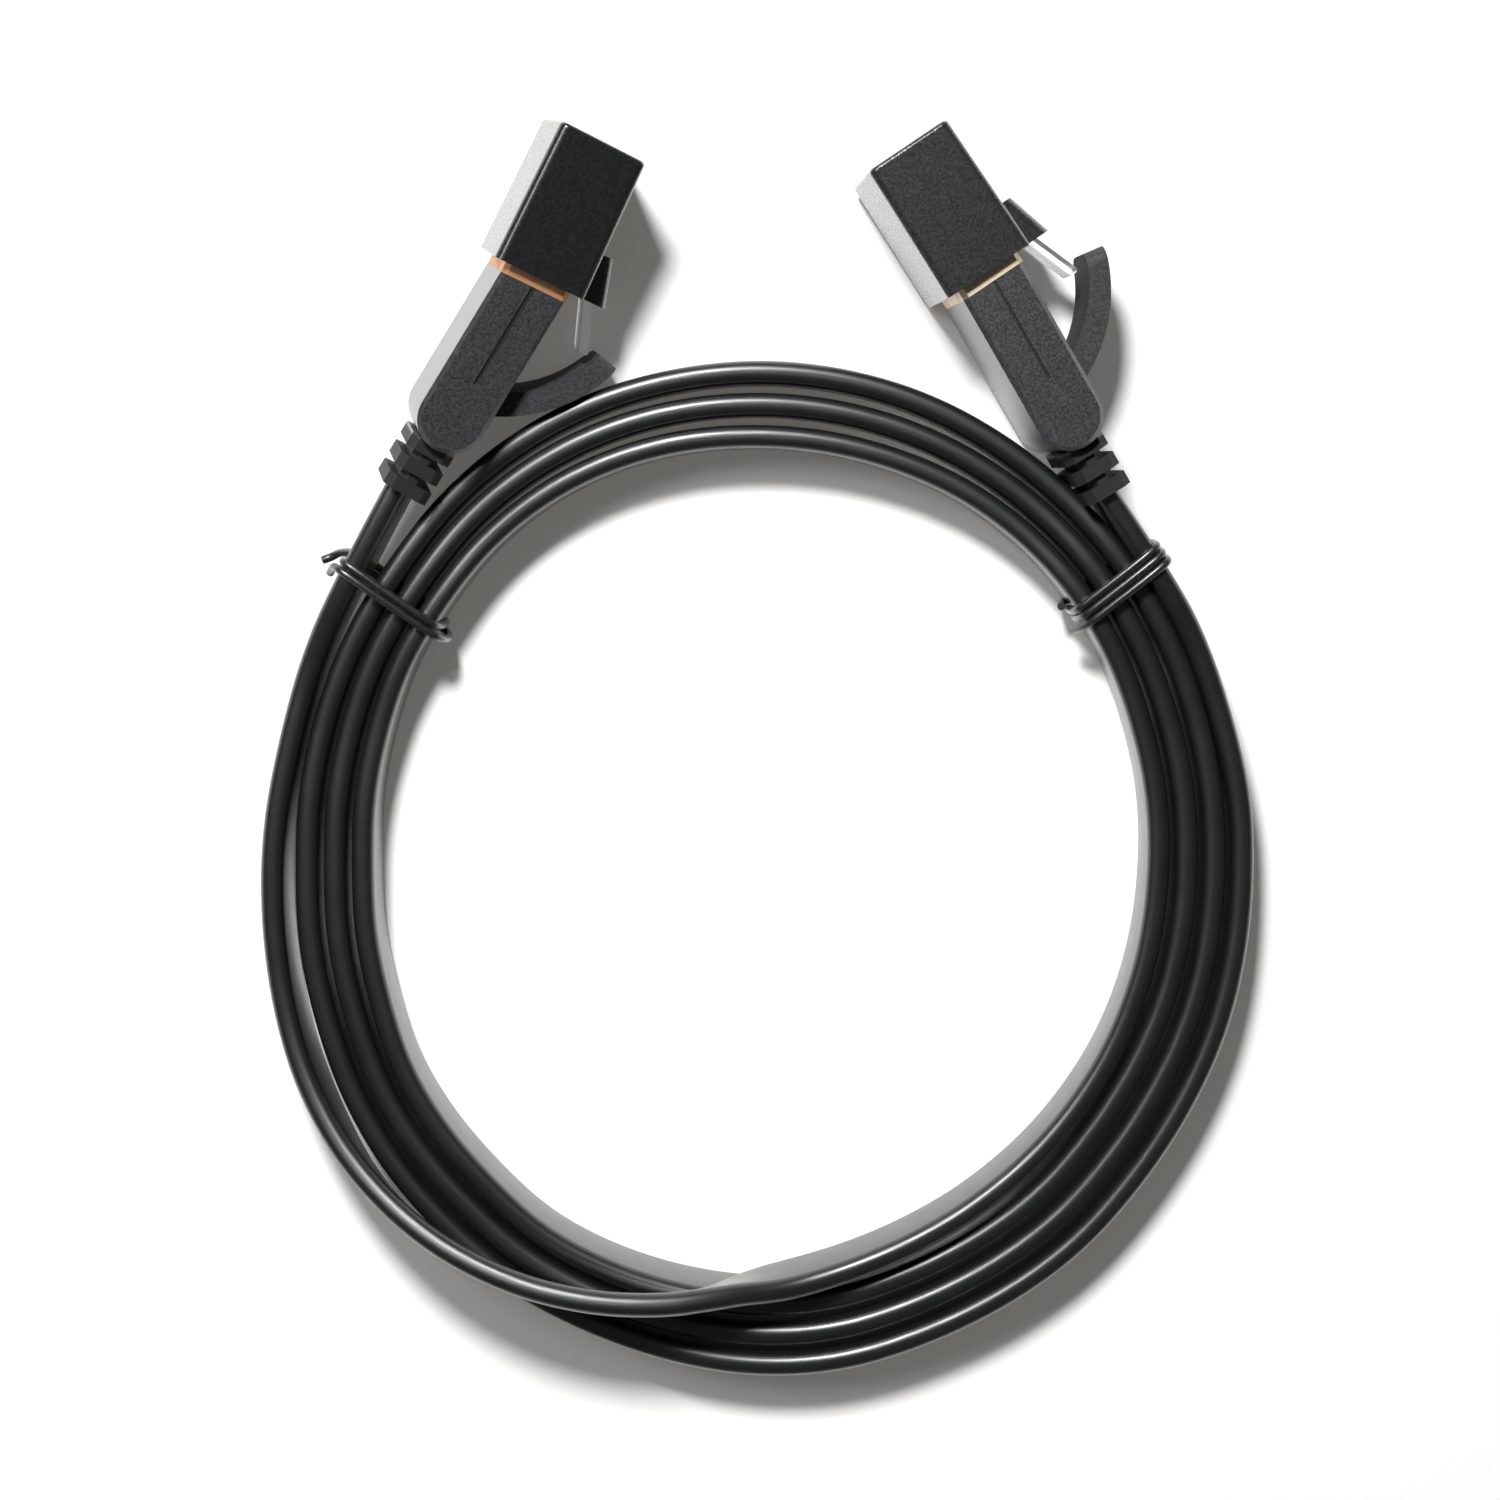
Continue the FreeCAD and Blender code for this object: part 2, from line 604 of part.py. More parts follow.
def make_contacts():
    """Eight blades with a bevelled lower front, where the jack's springs slide."""
    bevel_top = (CONTACT_FRONT, CONTACT_LOW + CONTACT_CHAMFER)
    bevel_low = (CONTACT_FRONT + CONTACT_CHAMFER, CONTACT_LOW)
    back_low = (CONTACT_BACK, CONTACT_LOW)
    outline = [bevel_top, bevel_low, back_low, (CONTACT_BACK, CONTACT_TOP), (CONTACT_FRONT, CONTACT_TOP)]
    blades = []
    for i in range(CONTACTS):
        blade = side_prism(outline, CONTACT_THICK / 2)
        blade.translate(Vec(0, contact_y(i), 0))
        blades.append(blade)
    return Part.makeCompound(blades)


def wire_bars(x0, x1, radius):
    """Row of many-sided bars along the plug, one for each contact."""
    bars = []
    for i in range(CONTACTS):
        points = []
        for k in range(WIRE_SIDES):
            turn = 2 * math.pi * k / WIRE_SIDES
            points.append(Vec(x0, contact_y(i) + radius * math.cos(turn), WIRE_Z + radius * math.sin(turn)))
        bars.append(polygon_face(points).extrude(Vec(x1 - x0, 0, 0)))
    return bars


def make_wires():
    """Eight insulated wires from over the blades to the back of the plug's tail."""
    return Part.makeCompound(wire_bars(WIRE_FRONT, PLUG_LENGTH + TAIL_LENGTH - FIT_CLEAR, WIRE_D / 2))


def make_load_bar():
    """Block with a hole for each wire, in the plug's cavity."""
    half = CAVITY_HALF - WIRE_CLEAR
    back = LOAD_BAR_FRONT + LOAD_BAR_LENGTH
    bar = block(LOAD_BAR_FRONT, back, -half, half, CAVITY_LOW + WIRE_CLEAR, CAVITY_TOP - WIRE_CLEAR)
    holes = wire_bars(LOAD_BAR_FRONT - CUT_OVER, back + CUT_OVER, WIRE_D / 2 + WIRE_CLEAR)
    return bar.cut(holes[0].fuse(holes[1:]))


def cap_block(x0, x1, wall):
    """Tapered block of the cap: its outside with a wall round the hollow, or the hollow with none."""
    corners = []
    for x in (x0, x1):
        reach = CAP_CLEAR + wall + CAP_DRAFT * (x - CAP_FRONT_X) / (CAP_REAR_X - CAP_FRONT_X)
        corners += [(x, -reach), (x, PLUG_HEIGHT + reach)]
    return side_prism([corners[i] for i in (0, 2, 3, 1)], HALF_PLUG + CAP_CLEAR + wall)


def cap_hood(wall):
    """Wedge over the latch: its outside with a wall round the hollow, or the hollow with none."""
    inset = CAP_WALL - wall
    base = PLUG_HEIGHT + CAP_CLEAR + CAP_DRAFT
    front_top = base + CAP_WALL + CAP_HOOD_FRONT_HEIGHT
    rise = (CAP_HOOD_REAR_HEIGHT - CAP_HOOD_FRONT_HEIGHT) / CAP_HOOD_LENGTH
    front_x = CAP_REAR_X - CAP_HOOD_LENGTH
    rear_x = CAP_REAR_X if wall else CAP_REAR_X + CUT_OVER
    x0 = front_x + inset
    tops = [(x, front_top + rise * (x - front_x) - inset) for x in (x0, rear_x)]
    half = LATCH_ROOT_WIDTH / 2 + LATCH_SIDE_CLEAR + wall
    return side_prism([(x0, base - inset)] + tops + [(rear_x, base - inset)], half)


def make_dust_cap():
    """Push-on cap with a hood over the latch."""
    outside = cap_block(CAP_FRONT_X, CAP_REAR_X, CAP_WALL)
    outside = outside.makeFillet(CAP_EDGE_R, long_edges(outside))
    nose_edges = [e for e in outside.Edges if e.BoundBox.XMax < CAP_FRONT_X + PICK]
    outside = outside.makeFillet(CAP_NOSE_R, nose_edges)
    hood = cap_hood(CAP_WALL)
    ridge = [e for e in long_edges(hood) if e.BoundBox.ZMin > PLUG_HEIGHT + CAP_CLEAR + CAP_DRAFT + CAP_WALL]
    hood = hood.makeFillet(CAP_HOOD_R, ridge)
    hollow = cap_block(-CAP_CLEAR, CAP_REAR_X + CUT_OVER, 0.0).fuse(cap_hood(0.0))
    return outside.fuse(hood).cut(hollow).removeSplitter()


def boot_body():
    """Flat-sided moulding with a round back end."""
    half = BOOT_WIDTH / 2
    low = -BOOT_DROP
    high = BOOT_TOP_Z
    front_x = PLUG_LENGTH - BOOT_TRIM
    round_x = BOOT_END_X - BOOT_HEIGHT / 2
    outline = [
        line(Vec(front_x, -half, low), Vec(round_x, -half, low)),
        arc(Vec(round_x, -half, low), Vec(BOOT_END_X, -half, BOOT_MIDDLE_Z), Vec(round_x, -half, high)),
        line(Vec(round_x, -half, high), Vec(front_x, -half, high)),
        line(Vec(front_x, -half, high), Vec(front_x, -half, low)),
    ]
    body = closed_face(outline).extrude(Vec(0, BOOT_WIDTH, 0))
    rim = [e for e in body.Edges if e.BoundBox.YLength < PICK and e.BoundBox.XLength > PICK]
    return body.makeChamfer(BOOT_CHAMFER, rim)


def bowed(tip, root, bulge):
    """Middle of the fin's side, which bows out from the straight line between its ends."""
    along = root - tip
    out = Vec(-along.z, 0, along.x)
    out.normalize()
    return (tip + root) * 0.5 + out * bulge


def boot_fin():
    """Curved tab that reaches forward over the latch's tip, so that the plug doesn't snag."""
    tip_x = PLUG_LENGTH + FIN_TIP_BACK
    tip_z = BOOT_TOP_Z + FIN_TIP_RISE
    tip_low = Vec(tip_x, 0, tip_z - FIN_TIP_THICK / 2)
    tip_high = Vec(tip_x + FIN_TIP_LEAN, 0, tip_z + FIN_TIP_THICK / 2)
    root_front = Vec(PLUG_LENGTH + FIN_ROOT_FRONT, 0, BOOT_TOP_Z - FIN_SINK)
    root_back = root_front + Vec(FIN_ROOT_LENGTH, 0, 0)
    outline = [
        line(root_front, root_back),
        arc(root_back, bowed(tip_high, root_back, FIN_OUTER_BULGE), tip_high),
        line(tip_high, tip_low),
        arc(tip_low, bowed(tip_low, root_front, FIN_INNER_BULGE), root_front),
    ]
    face = closed_face(outline)
    face.translate(Vec(0, -FIN_WIDTH / 2, 0))
    fin = face.extrude(Vec(0, FIN_WIDTH, 0))
    tip_edges = [e for e in fin.Edges if e.BoundBox.XMax < tip_high.x + PICK and e.BoundBox.YLength < PICK]
    return fin.makeFillet(FIN_TIP_R, tip_edges)


def boot_seam(side):
    """Shallow groove along the middle of the boot's wide side."""
    half = BOOT_WIDTH / 2
    y0, y1 = sorted((side * (half - SEAM_DEPTH), side * (half + CUT_OVER)))
    return block(PLUG_LENGTH - BOOT_TRIM, PLUG_LENGTH + SEAM_LENGTH, y0, y1,
                 BOOT_MIDDLE_Z - SEAM_WIDTH / 2, BOOT_MIDDLE_Z + SEAM_WIDTH / 2)


def strain_relief():
    """Slim core round the cable with three ribs."""
    core = chamfered_bar(BOOT_END_X - BOOT_HEIGHT / 2, RELIEF_END_X, RELIEF_CORE_WIDTH / 2, BOOT_MIDDLE_Z,
                         RELIEF_CORE_HEIGHT / 2, RIB_CHAMFER)
    ribs = []
    for i in range(RELIEF_RIBS):
        back = RELIEF_END_X - i * RIB_PITCH
        ribs.append(chamfered_bar(back - RIB_THICK, back, RIB_WIDTH / 2, BOOT_MIDDLE_Z,
                                  RIB_HEIGHT / 2, RIB_CHAMFER))
    return core.fuse(ribs)


def boot_turn(degrees):
    """The soft boot turns aside about the middle of its front end."""
    turn = FreeCAD.Rotation(Vec(0, 1, 0), degrees)
    return FreeCAD.Placement(Vec(0, 0, 0), turn, Vec(PLUG_LENGTH, 0, BOOT_MIDDLE_Z))


def make_boot(turn_deg):
    """Moulded boot: body, fin and strain relief in one, round the plug's tail."""
    outside = boot_body().fuse([boot_fin(), strain_relief()])
    outside = outside.cut(boot_seam(-1).fuse(boot_seam(1)))
    outside.Placement = boot_turn(turn_deg)
    reach = TAIL_WALL + FIT_CLEAR
    pocket_half = CAVITY_HALF + reach
    pocket = block(PLUG_LENGTH - CUT_OVER, PLUG_LENGTH + TAIL_LENGTH + FIT_CLEAR, -pocket_half, pocket_half,
                   CAVITY_LOW - reach, CAVITY_TOP + reach)
    before = block(PLUG_LENGTH - 2 * BOOT_TRIM, PLUG_LENGTH, -BOOT_WIDTH, BOOT_WIDTH,
                   -BOOT_WIDTH, BOOT_WIDTH)
    return outside.cut(pocket.fuse(before)).removeSplitter()


def plug_frame(end_out, end_deg, heading_deg, roll_deg, droop_deg, boot_deg):
    """Place of a plug that lies on its side, before it is set down on the floor."""
    heading = math.radians(heading_deg)
    roll = math.radians(roll_deg)
    droop = math.radians(droop_deg)
    back = Vec(-math.sin(heading) * math.cos(droop), -math.cos(heading) * math.cos(droop), -math.sin(droop))
    level = Vec(math.cos(heading), -math.sin(heading), 0)
    up = back.cross(level)
    latch_way = level * math.cos(roll) - up * math.sin(roll)
    place = frame_at(Vec(0, 0, 0), back, latch_way.cross(back), latch_way)
    end = place.multiply(boot_turn(boot_deg)).multVec(Vec(RELIEF_END_X, 0, BOOT_MIDDLE_Z))
    goal = polar(RING_OUTER_R + end_out, end_deg)
    place.Base = Vec(goal.x - end.x, goal.y - end.y, 0)
    return place


def lowest(shape):
    """Height of a shape's lowest point."""
    return min(p.z for p in shape.tessellate(SAMPLE)[0])


def make_plug(name, place, boot_deg):
    """All pieces of one plug, set down on the floor."""
    pieces = {
        "plug_housing": make_housing(),
        "latch": make_latch(),
        "contacts": make_contacts(),
        "shield": make_shield(),
        "load_bar": make_load_bar(),
        "wires": make_wires(),
        "boot": make_boot(boot_deg),
        "dust_cap": make_dust_cap(),
    }
    for piece in pieces.values():
        piece.Placement = place.multiply(piece.Placement)
    floor = min(lowest(pieces["dust_cap"]), lowest(pieces["boot"]))
    place.Base = place.Base - Vec(0, 0, floor)
    for piece in pieces.values():
        piece.translate(Vec(0, 0, -floor))
    return {name + "_" + key: piece for key, piece in pieces.items()}


LEFT_PLACE = plug_frame(LEFT_END_OUT, LEFT_END_DEG, LEFT_HEADING_DEG, LEFT_ROLL_DEG, LEFT_DROOP_DEG,
                        LEFT_BOOT_DEG)
RIGHT_PLACE = plug_frame(RIGHT_END_OUT, RIGHT_END_DEG, RIGHT_HEADING_DEG, RIGHT_ROLL_DEG, RIGHT_DROOP_DEG,
                         RIGHT_BOOT_DEG)

nodes = {}
nodes.update(make_plug("left", LEFT_PLACE, LEFT_BOOT_DEG))
nodes.update(make_plug("right", RIGHT_PLACE, RIGHT_BOOT_DEG))
LEFT_ROUTE = lead_points(LEFT_LEAVE_DEG, -1, LEFT_FIRST_RUN, LEFT_PLUG_RUN,
                         LEFT_PLACE.multiply(boot_turn(LEFT_BOOT_DEG)))
RIGHT_ROUTE = lead_points(RIGHT_LEAVE_DEG, 1, RIGHT_FIRST_RUN, RIGHT_PLUG_RUN,
                          RIGHT_PLACE.multiply(boot_turn(RIGHT_BOOT_DEG)))
nodes["cable_coil"] = make_coil()
nodes["left_lead"] = make_lead("left_lead", LEFT_ROUTE)
nodes["right_lead"] = make_lead("right_lead", RIGHT_ROUTE)
nodes["left_tie"] = make_tie(LEFT_TIE_DEG, LEFT_TIE_LOOPS, LEFT_TIE_TAILS, LEFT_ROUTE)
nodes["right_tie"] = make_tie(RIGHT_TIE_DEG, RIGHT_TIE_LOOPS, RIGHT_TIE_TAILS, RIGHT_ROUTE)

# The origin is on the floor, under the middle of the whole object
surface = [p for shape in nodes.values() for p in shape.tessellate(SAMPLE)[0]]
MIDDLE_X = (min(p.x for p in surface) + max(p.x for p in surface)) / 2
MIDDLE_Y = (min(p.y for p in surface) + max(p.y for p in surface)) / 2
RING_CENTRE = Vec(-MIDDLE_X, -MIDDLE_Y, 0)
for shape in nodes.values():
    shape.translate(RING_CENTRE)
print("ring centre", RING_CENTRE)

os.makedirs("parts", exist_ok=True)
for name, shape in nodes.items():
    shape.exportStep("parts/" + name + ".step")
    print(name, "solids", len(shape.Solids), "valid", shape.isValid(), "volume %.2f" % shape.Volume)
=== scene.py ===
# %% [markdown]
# A flat network cable, wound into a ring and tied. The rigid pieces come from the CAD frame: plugs, boots,
# caps, latches. Blender adds what CAD keeps plain, the soft cable itself and its two wire ties, and gives
# every surface its finish. Sizes below are in metres unless a name or a comment says otherwise.

# %% Load the frame
import json
import math
import bmesh
import bpy
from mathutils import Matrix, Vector


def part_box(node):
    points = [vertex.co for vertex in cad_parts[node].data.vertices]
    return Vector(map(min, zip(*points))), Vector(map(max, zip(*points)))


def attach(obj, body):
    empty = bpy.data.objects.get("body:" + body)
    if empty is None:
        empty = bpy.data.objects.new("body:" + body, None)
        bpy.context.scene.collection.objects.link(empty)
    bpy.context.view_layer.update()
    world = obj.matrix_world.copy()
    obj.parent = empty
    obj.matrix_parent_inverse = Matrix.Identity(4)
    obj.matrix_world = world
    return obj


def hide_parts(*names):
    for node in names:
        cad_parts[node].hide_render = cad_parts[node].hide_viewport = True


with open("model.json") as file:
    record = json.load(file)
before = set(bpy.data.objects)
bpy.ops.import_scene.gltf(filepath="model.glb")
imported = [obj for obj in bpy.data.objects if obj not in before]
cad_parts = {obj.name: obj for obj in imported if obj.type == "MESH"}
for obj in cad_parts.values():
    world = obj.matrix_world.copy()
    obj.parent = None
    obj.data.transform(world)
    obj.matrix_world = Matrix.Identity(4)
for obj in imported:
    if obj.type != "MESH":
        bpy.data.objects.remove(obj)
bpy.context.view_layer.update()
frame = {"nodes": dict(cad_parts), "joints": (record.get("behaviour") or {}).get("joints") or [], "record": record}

MM = 0.001
nodes = frame["nodes"]

# %% [markdown]
# The ring's centre is the one place that most of the scene is measured from. It isn't the frame's origin,
# which lies under the middle of the whole object, so it is worked out from the box of the wound turns: the
# ring is as wide to the left as to the right, and three turns pass its top.

# %% Where the ring lies
UPPER_TURNS_R = 45.45 * MM
coil_low, coil_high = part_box("cable_coil")
RING_CENTRE = Vector(((coil_low.x + coil_high.x) / 2, coil_high.y - UPPER_TURNS_R, 0))


def ring_point(radius_mm, degrees, z_mm):
    """Point round the ring's centre, from a radius and a height in millimetres."""
    angle = math.radians(degrees)
    return RING_CENTRE + Vector((math.cos(angle) * radius_mm, math.sin(angle) * radius_mm, z_mm)) * MM


def angle_of(point):
    """Angle of a point round the ring's centre, in degrees."""
    offset = point - RING_CENTRE
    return math.degrees(math.atan2(offset.y, offset.x)) % 360


print("ring centre", tuple(round(c, 5) for c in RING_CENTRE))

# %% [markdown]
# The photograph looks straight down, from a little over twice the object's length. The point under the lens
# lies between the ring and the plugs, so the outer sides of the cable and the plugs' near sides show. Part
# of that comes from a small tilt of the camera and part from a shift of its frame.

# %% Camera
LENS_HEIGHT = 226 * MM
UNDER_LENS = RING_CENTRE + Vector((-0.38, 33.77, 0)) * MM
PHOTO_PIXELS = 1500
FOCAL_PIXELS = 2297
TILT = math.radians(2.88)
FRAME_SHIFT = -120 / PHOTO_PIXELS
SENSOR_MM = 36.0
CLIP_START = 10 * MM

camera_data = bpy.data.cameras.new("camera")
camera_data.sensor_width = SENSOR_MM
camera_data.lens = SENSOR_MM * FOCAL_PIXELS / PHOTO_PIXELS
camera_data.shift_y = FRAME_SHIFT
camera_data.clip_start = CLIP_START
camera = bpy.data.objects.new("camera", camera_data)
bpy.context.scene.collection.objects.link(camera)
camera.location = UNDER_LENS + Vector((0, 0, LENS_HEIGHT))
camera.rotation_euler = (-TILT, 0, 0)
bpy.context.scene.camera = camera
print("lens", round(camera_data.lens, 2))

# %% [markdown]
# Lamps, room and finishes are all node trees. A few small functions join their sockets, measure places and
# make masks, so that each tree below says only what is its own.

# %% Kit for node trees


def link_nodes(tree, *pairs):
    """Joins output sockets to input sockets."""
    for source, target in pairs:
        tree.links.new(source, target)


def add_range(tree, value, from_low, from_high, to_low=0.0, to_high=1.0):
    """Goes from one limit to the other while a value does, and stays at them outside."""
    change = tree.nodes.new("ShaderNodeMapRange")
    limits = {"From Min": from_low, "From Max": from_high, "To Min": to_low, "To Max": to_high}
    for name, limit in limits.items():
        change.inputs[name].default_value = limit
    link_nodes(tree, (value, change.inputs["Value"]))
    return change.outputs["Result"]


def join_masks(tree, operation, first, second):
    """Combines two masks by multiplying them or by taking the larger one."""
    join = tree.nodes.new("ShaderNodeMath")
    join.operation = operation
    link_nodes(tree, (first, join.inputs[0]), (second, join.inputs[1]))
    return join.outputs["Value"]


def seen_by(tree, *rays):
    """Mask that is 1 for the given kinds of ray."""
    path = tree.nodes.new("ShaderNodeLightPath")
    mask = path.outputs[rays[0]]
    for ray in rays[1:]:
        mask = join_masks(tree, "MAXIMUM", mask, path.outputs[ray])
    return mask


def measure(tree, operation):
    """Measures each point of the surface: its distance from the origin, or along a direction."""
    place = tree.nodes.new("ShaderNodeTexCoord")
    reach = tree.nodes.new("ShaderNodeVectorMath")
    reach.operation = operation
    link_nodes(tree, (place.outputs["Object"], reach.inputs[0]))
    return reach


def distance_along(tree, direction):
    """How far each point of the surface lies along a direction."""
    reach = measure(tree, "DOT_PRODUCT")
    reach.inputs[1].default_value = direction
    return reach.outputs["Value"]


print("kit for node trees ready")

# %% [markdown]
# A small soft lamp stands beyond the plugs and a little to the left, as the short shadows show: they lie
# below and to the right of everything. Its strength doesn't fall off with distance, so the table is evenly
# bright. A wide, weak panel further to the left draws the bright line along the left cap. The room is nearly
# dark, so the black plastics stay black, and a faint warm glow of the table itself fills the shadows. Beyond
# the object the camera sees white, and so does a ray that has passed through clear plastic. Reflections find
# the table white there but the room dark. None of that puts more light on anything.

# %% Lamp, panel, room and table
LAMP_PLACE = RING_CENTRE + Vector((-55, 196, 262)) * MM
LAMP_RADIUS = 28 * MM
LAMP_STRENGTH = 47.0
PANEL_PLACE = RING_CENTRE + Vector((-150, 125, 273)) * MM
PANEL_TARGET = RING_CENTRE + Vector((-20, 50, 13)) * MM
PANEL_SIZE = (110 * MM, 60 * MM)
PANEL_WATTS = 0.18
ROOM_LIGHT = 0.06
WHITE = 1.0
WHITE_FROM = 130 * MM
WHITE_TO = 250 * MM
TABLE_HALF = 12
TABLE_COLOUR = (0.96, 0.96, 0.955, 1)
TABLE_ROUGHNESS = 0.9
TABLE_SPECULAR = 0.1
TABLE_GLOW = 0.10
GLOW_COLOUR = (1.0, 0.95, 0.87, 1)


def make_lamp():
    """Soft lamp with the same strength near and far."""
    data = bpy.data.lights.new("lamp", "POINT")
    data.energy = 1.0
    data.shadow_soft_size = LAMP_RADIUS
    data.use_nodes = True
    tree = data.node_tree
    glow = tree.nodes["Emission"]
    falloff = tree.nodes.new("ShaderNodeLightFalloff")
    falloff.inputs["Strength"].default_value = LAMP_STRENGTH
    link_nodes(tree, (falloff.outputs["Constant"], glow.inputs["Strength"]))
    lamp = bpy.data.objects.new("lamp", data)
    lamp.location = LAMP_PLACE
    bpy.context.scene.collection.objects.link(lamp)


def make_panel():
    """Wide panel that faces the left plug."""
    data = bpy.data.lights.new("panel", "AREA")
    data.shape = "RECTANGLE"
    data.size, data.size_y = PANEL_SIZE
    data.energy = PANEL_WATTS
    panel = bpy.data.objects.new("panel", data)
    panel.location = PANEL_PLACE
    panel.rotation_euler = (PANEL_TARGET - PANEL_PLACE).to_track_quat("-Z", "Y").to_euler()
    bpy.context.scene.collection.objects.link(panel)


def make_room():
    """Even, dim light from all round, which looks white to the camera and through clear plastic."""
    room = bpy.data.worlds.new("room")
    room.use_nodes = True
    tree = room.node_tree
    background = tree.nodes["Background"]
    background.inputs["Color"].default_value = (1, 1, 1, 1)
    seen = seen_by(tree, "Is Camera Ray", "Is Transmission Ray")
    link_nodes(tree, (add_range(tree, seen, 0, 1, ROOM_LIGHT, WHITE), background.inputs["Strength"]))
    bpy.context.scene.world = room


def make_table():
    """Pale table that keeps the object's shadow, glows faintly and turns white farther out."""
    mesh = bpy.data.meshes.new("table")
    corners = [(-TABLE_HALF, -TABLE_HALF, 0), (TABLE_HALF, -TABLE_HALF, 0),
               (TABLE_HALF, TABLE_HALF, 0), (-TABLE_HALF, TABLE_HALF, 0)]
    mesh.from_pydata(corners, [], [(0, 1, 2, 3)])
    table = bpy.data.objects.new("table", mesh)
    bpy.context.scene.collection.objects.link(table)
    paper = bpy.data.materials.new("table_paper")
    paper.use_nodes = True
    tree = paper.node_tree
    shader = tree.nodes["Principled BSDF"]
    shader.inputs["Base Color"].default_value = TABLE_COLOUR
    shader.inputs["Roughness"].default_value = TABLE_ROUGHNESS
    shader.inputs["Specular IOR Level"].default_value = TABLE_SPECULAR
    shader.inputs["Emission Color"].default_value = GLOW_COLOUR
    seen = seen_by(tree, "Is Camera Ray", "Is Transmission Ray", "Is Glossy Ray")
    far_out = add_range(tree, measure(tree, "LENGTH").outputs["Value"], WHITE_FROM, WHITE_TO)
    glow = add_range(tree, join_masks(tree, "MULTIPLY", seen, far_out), 0, 1, TABLE_GLOW, WHITE)
    link_nodes(tree, (glow, shader.inputs["Emission Strength"]))
    mesh.materials.append(paper)


make_lamp()
make_panel()
make_room()
make_table()
bpy.context.scene.view_settings.view_transform = "Standard"
print("lamp at", tuple(round(c, 3) for c in LAMP_PLACE))

# %% [markdown]
# Every finish starts from the same small kit: a Principled shader, a texture on Object coordinates at the
# scale of the real surface, and a bump. A moulded plastic differs from a jacket mostly in the size of its
# grain and in how sharply it reflects. Black plastics get their shine from two layers, the material itself
# and the denser skin that forms against the mould or the die, which the shader's coat stands for.

# %% Kit for finishes
NOISE_BAND = (0.3, 0.7)
GRAIN_BAND = (0.38, 0.62)
GRAIN_DETAIL = 4
GRAIN_BUMP = 0.6
PIT_SMOOTHER = 0.06
PEAK_ROUGHER = 0.08


def new_finish(name, colour, roughness):
    """Material with a Principled shader set to a plain colour and roughness."""
    finish = bpy.data.materials.new(name)
    finish.use_nodes = True
    shader = finish.node_tree.nodes["Principled BSDF"]
    shader.inputs["Base Color"].default_value = (*colour, 1)
    shader.inputs["Roughness"].default_value = roughness
    return finish, finish.node_tree, shader


def add_noise(tree, scale, detail):
    """Noise on the surface's own coordinates."""
    place = tree.nodes.new("ShaderNodeTexCoord")
    noise = tree.nodes.new("ShaderNodeTexNoise")
    noise.inputs["Scale"].default_value = scale
    noise.inputs["Detail"].default_value = detail
    link_nodes(tree, (place.outputs["Object"], noise.inputs["Vector"]))
    return noise.outputs["Fac"]


def add_lines(tree, stretch, detail):
    """Noise drawn out along the UV map."""
    place = tree.nodes.new("ShaderNodeTexCoord")
    draw = tree.nodes.new("ShaderNodeMapping")
    draw.inputs["Scale"].default_value = stretch
    noise = tree.nodes.new("ShaderNodeTexNoise")
    noise.inputs["Scale"].default_value = 1
    noise.inputs["Detail"].default_value = detail
    link_nodes(tree, (place.outputs["UV"], draw.inputs["Vector"]),
               (draw.outputs["Vector"], noise.inputs["Vector"]))
    return noise.outputs["Fac"]


def add_ramp(tree, factor, stops):
    """Colours or greys along a factor: each stop is a place and a colour."""
    ramp = tree.nodes.new("ShaderNodeValToRGB")
    while len(ramp.color_ramp.elements) < len(stops):
        ramp.color_ramp.elements.new(1.0)
    for element, (at, colour) in zip(ramp.color_ramp.elements, stops):
        element.position = at
        element.color = (*colour, 1)
    link_nodes(tree, (factor, ramp.inputs["Fac"]))
    return ramp


def grey(value):
    """Grey of a given strength, which also stands for a plain number in a ramp."""
    return (value, value, value)


def vary(tree, socket, factor, low, high, band=NOISE_BAND):
    """Lets a socket go from one colour or grey to another, across a band of a texture's values."""
    ramp = add_ramp(tree, factor, tuple(zip(band, (low, high))))
    link_nodes(tree, (ramp.outputs["Color"], socket))


def add_bump(tree, shader, height, strength, depth):
    """Raises the surface by a texture, to a depth in metres."""
    bump = tree.nodes.new("ShaderNodeBump")
    bump.inputs["Strength"].default_value = strength
    bump.inputs["Distance"].default_value = depth
    link_nodes(tree, (height, bump.inputs["Height"]), (bump.outputs["Normal"], shader.inputs["Normal"]),
               (bump.outputs["Normal"], shader.inputs["Coat Normal"]))


def add_skin(shader, roughness):
    """Shiny skin on a plastic."""
    shader.inputs["Coat Weight"].default_value = 1.0
    shader.inputs["Coat Roughness"].default_value = roughness


def grained_plastic(name, dark, light, roughness, grain_scale, grain_depth):
    """Moulded plastic with a fine spark-eroded grain, whose pits are painted darker than its peaks as painted
    shade.
    """
    finish, tree, shader = new_finish(name, dark, roughness)
    add_skin(shader, roughness)
    grain = add_noise(tree, grain_scale, GRAIN_DETAIL)
    # Painted shade: the colour follows the grain's height and is darker in its pits
    vary(tree, shader.inputs["Base Color"], grain, dark, light, GRAIN_BAND)
    vary(tree, shader.inputs["Roughness"], grain, grey(roughness - PIT_SMOOTHER),
         grey(roughness + PEAK_ROUGHER))
    add_bump(tree, shader, grain, GRAIN_BUMP, grain_depth)
    return finish


print("kit for finishes ready")

# %% [markdown]
# The right cap has a fine matt grain and looks dark grey under the lamp. The left cap is smoother and darker.
# The jacket is soft vinyl: nearly black, with a satin shine and faint lines along its length from the die
# that it was drawn through, so its pattern follows the cable's own UV map.

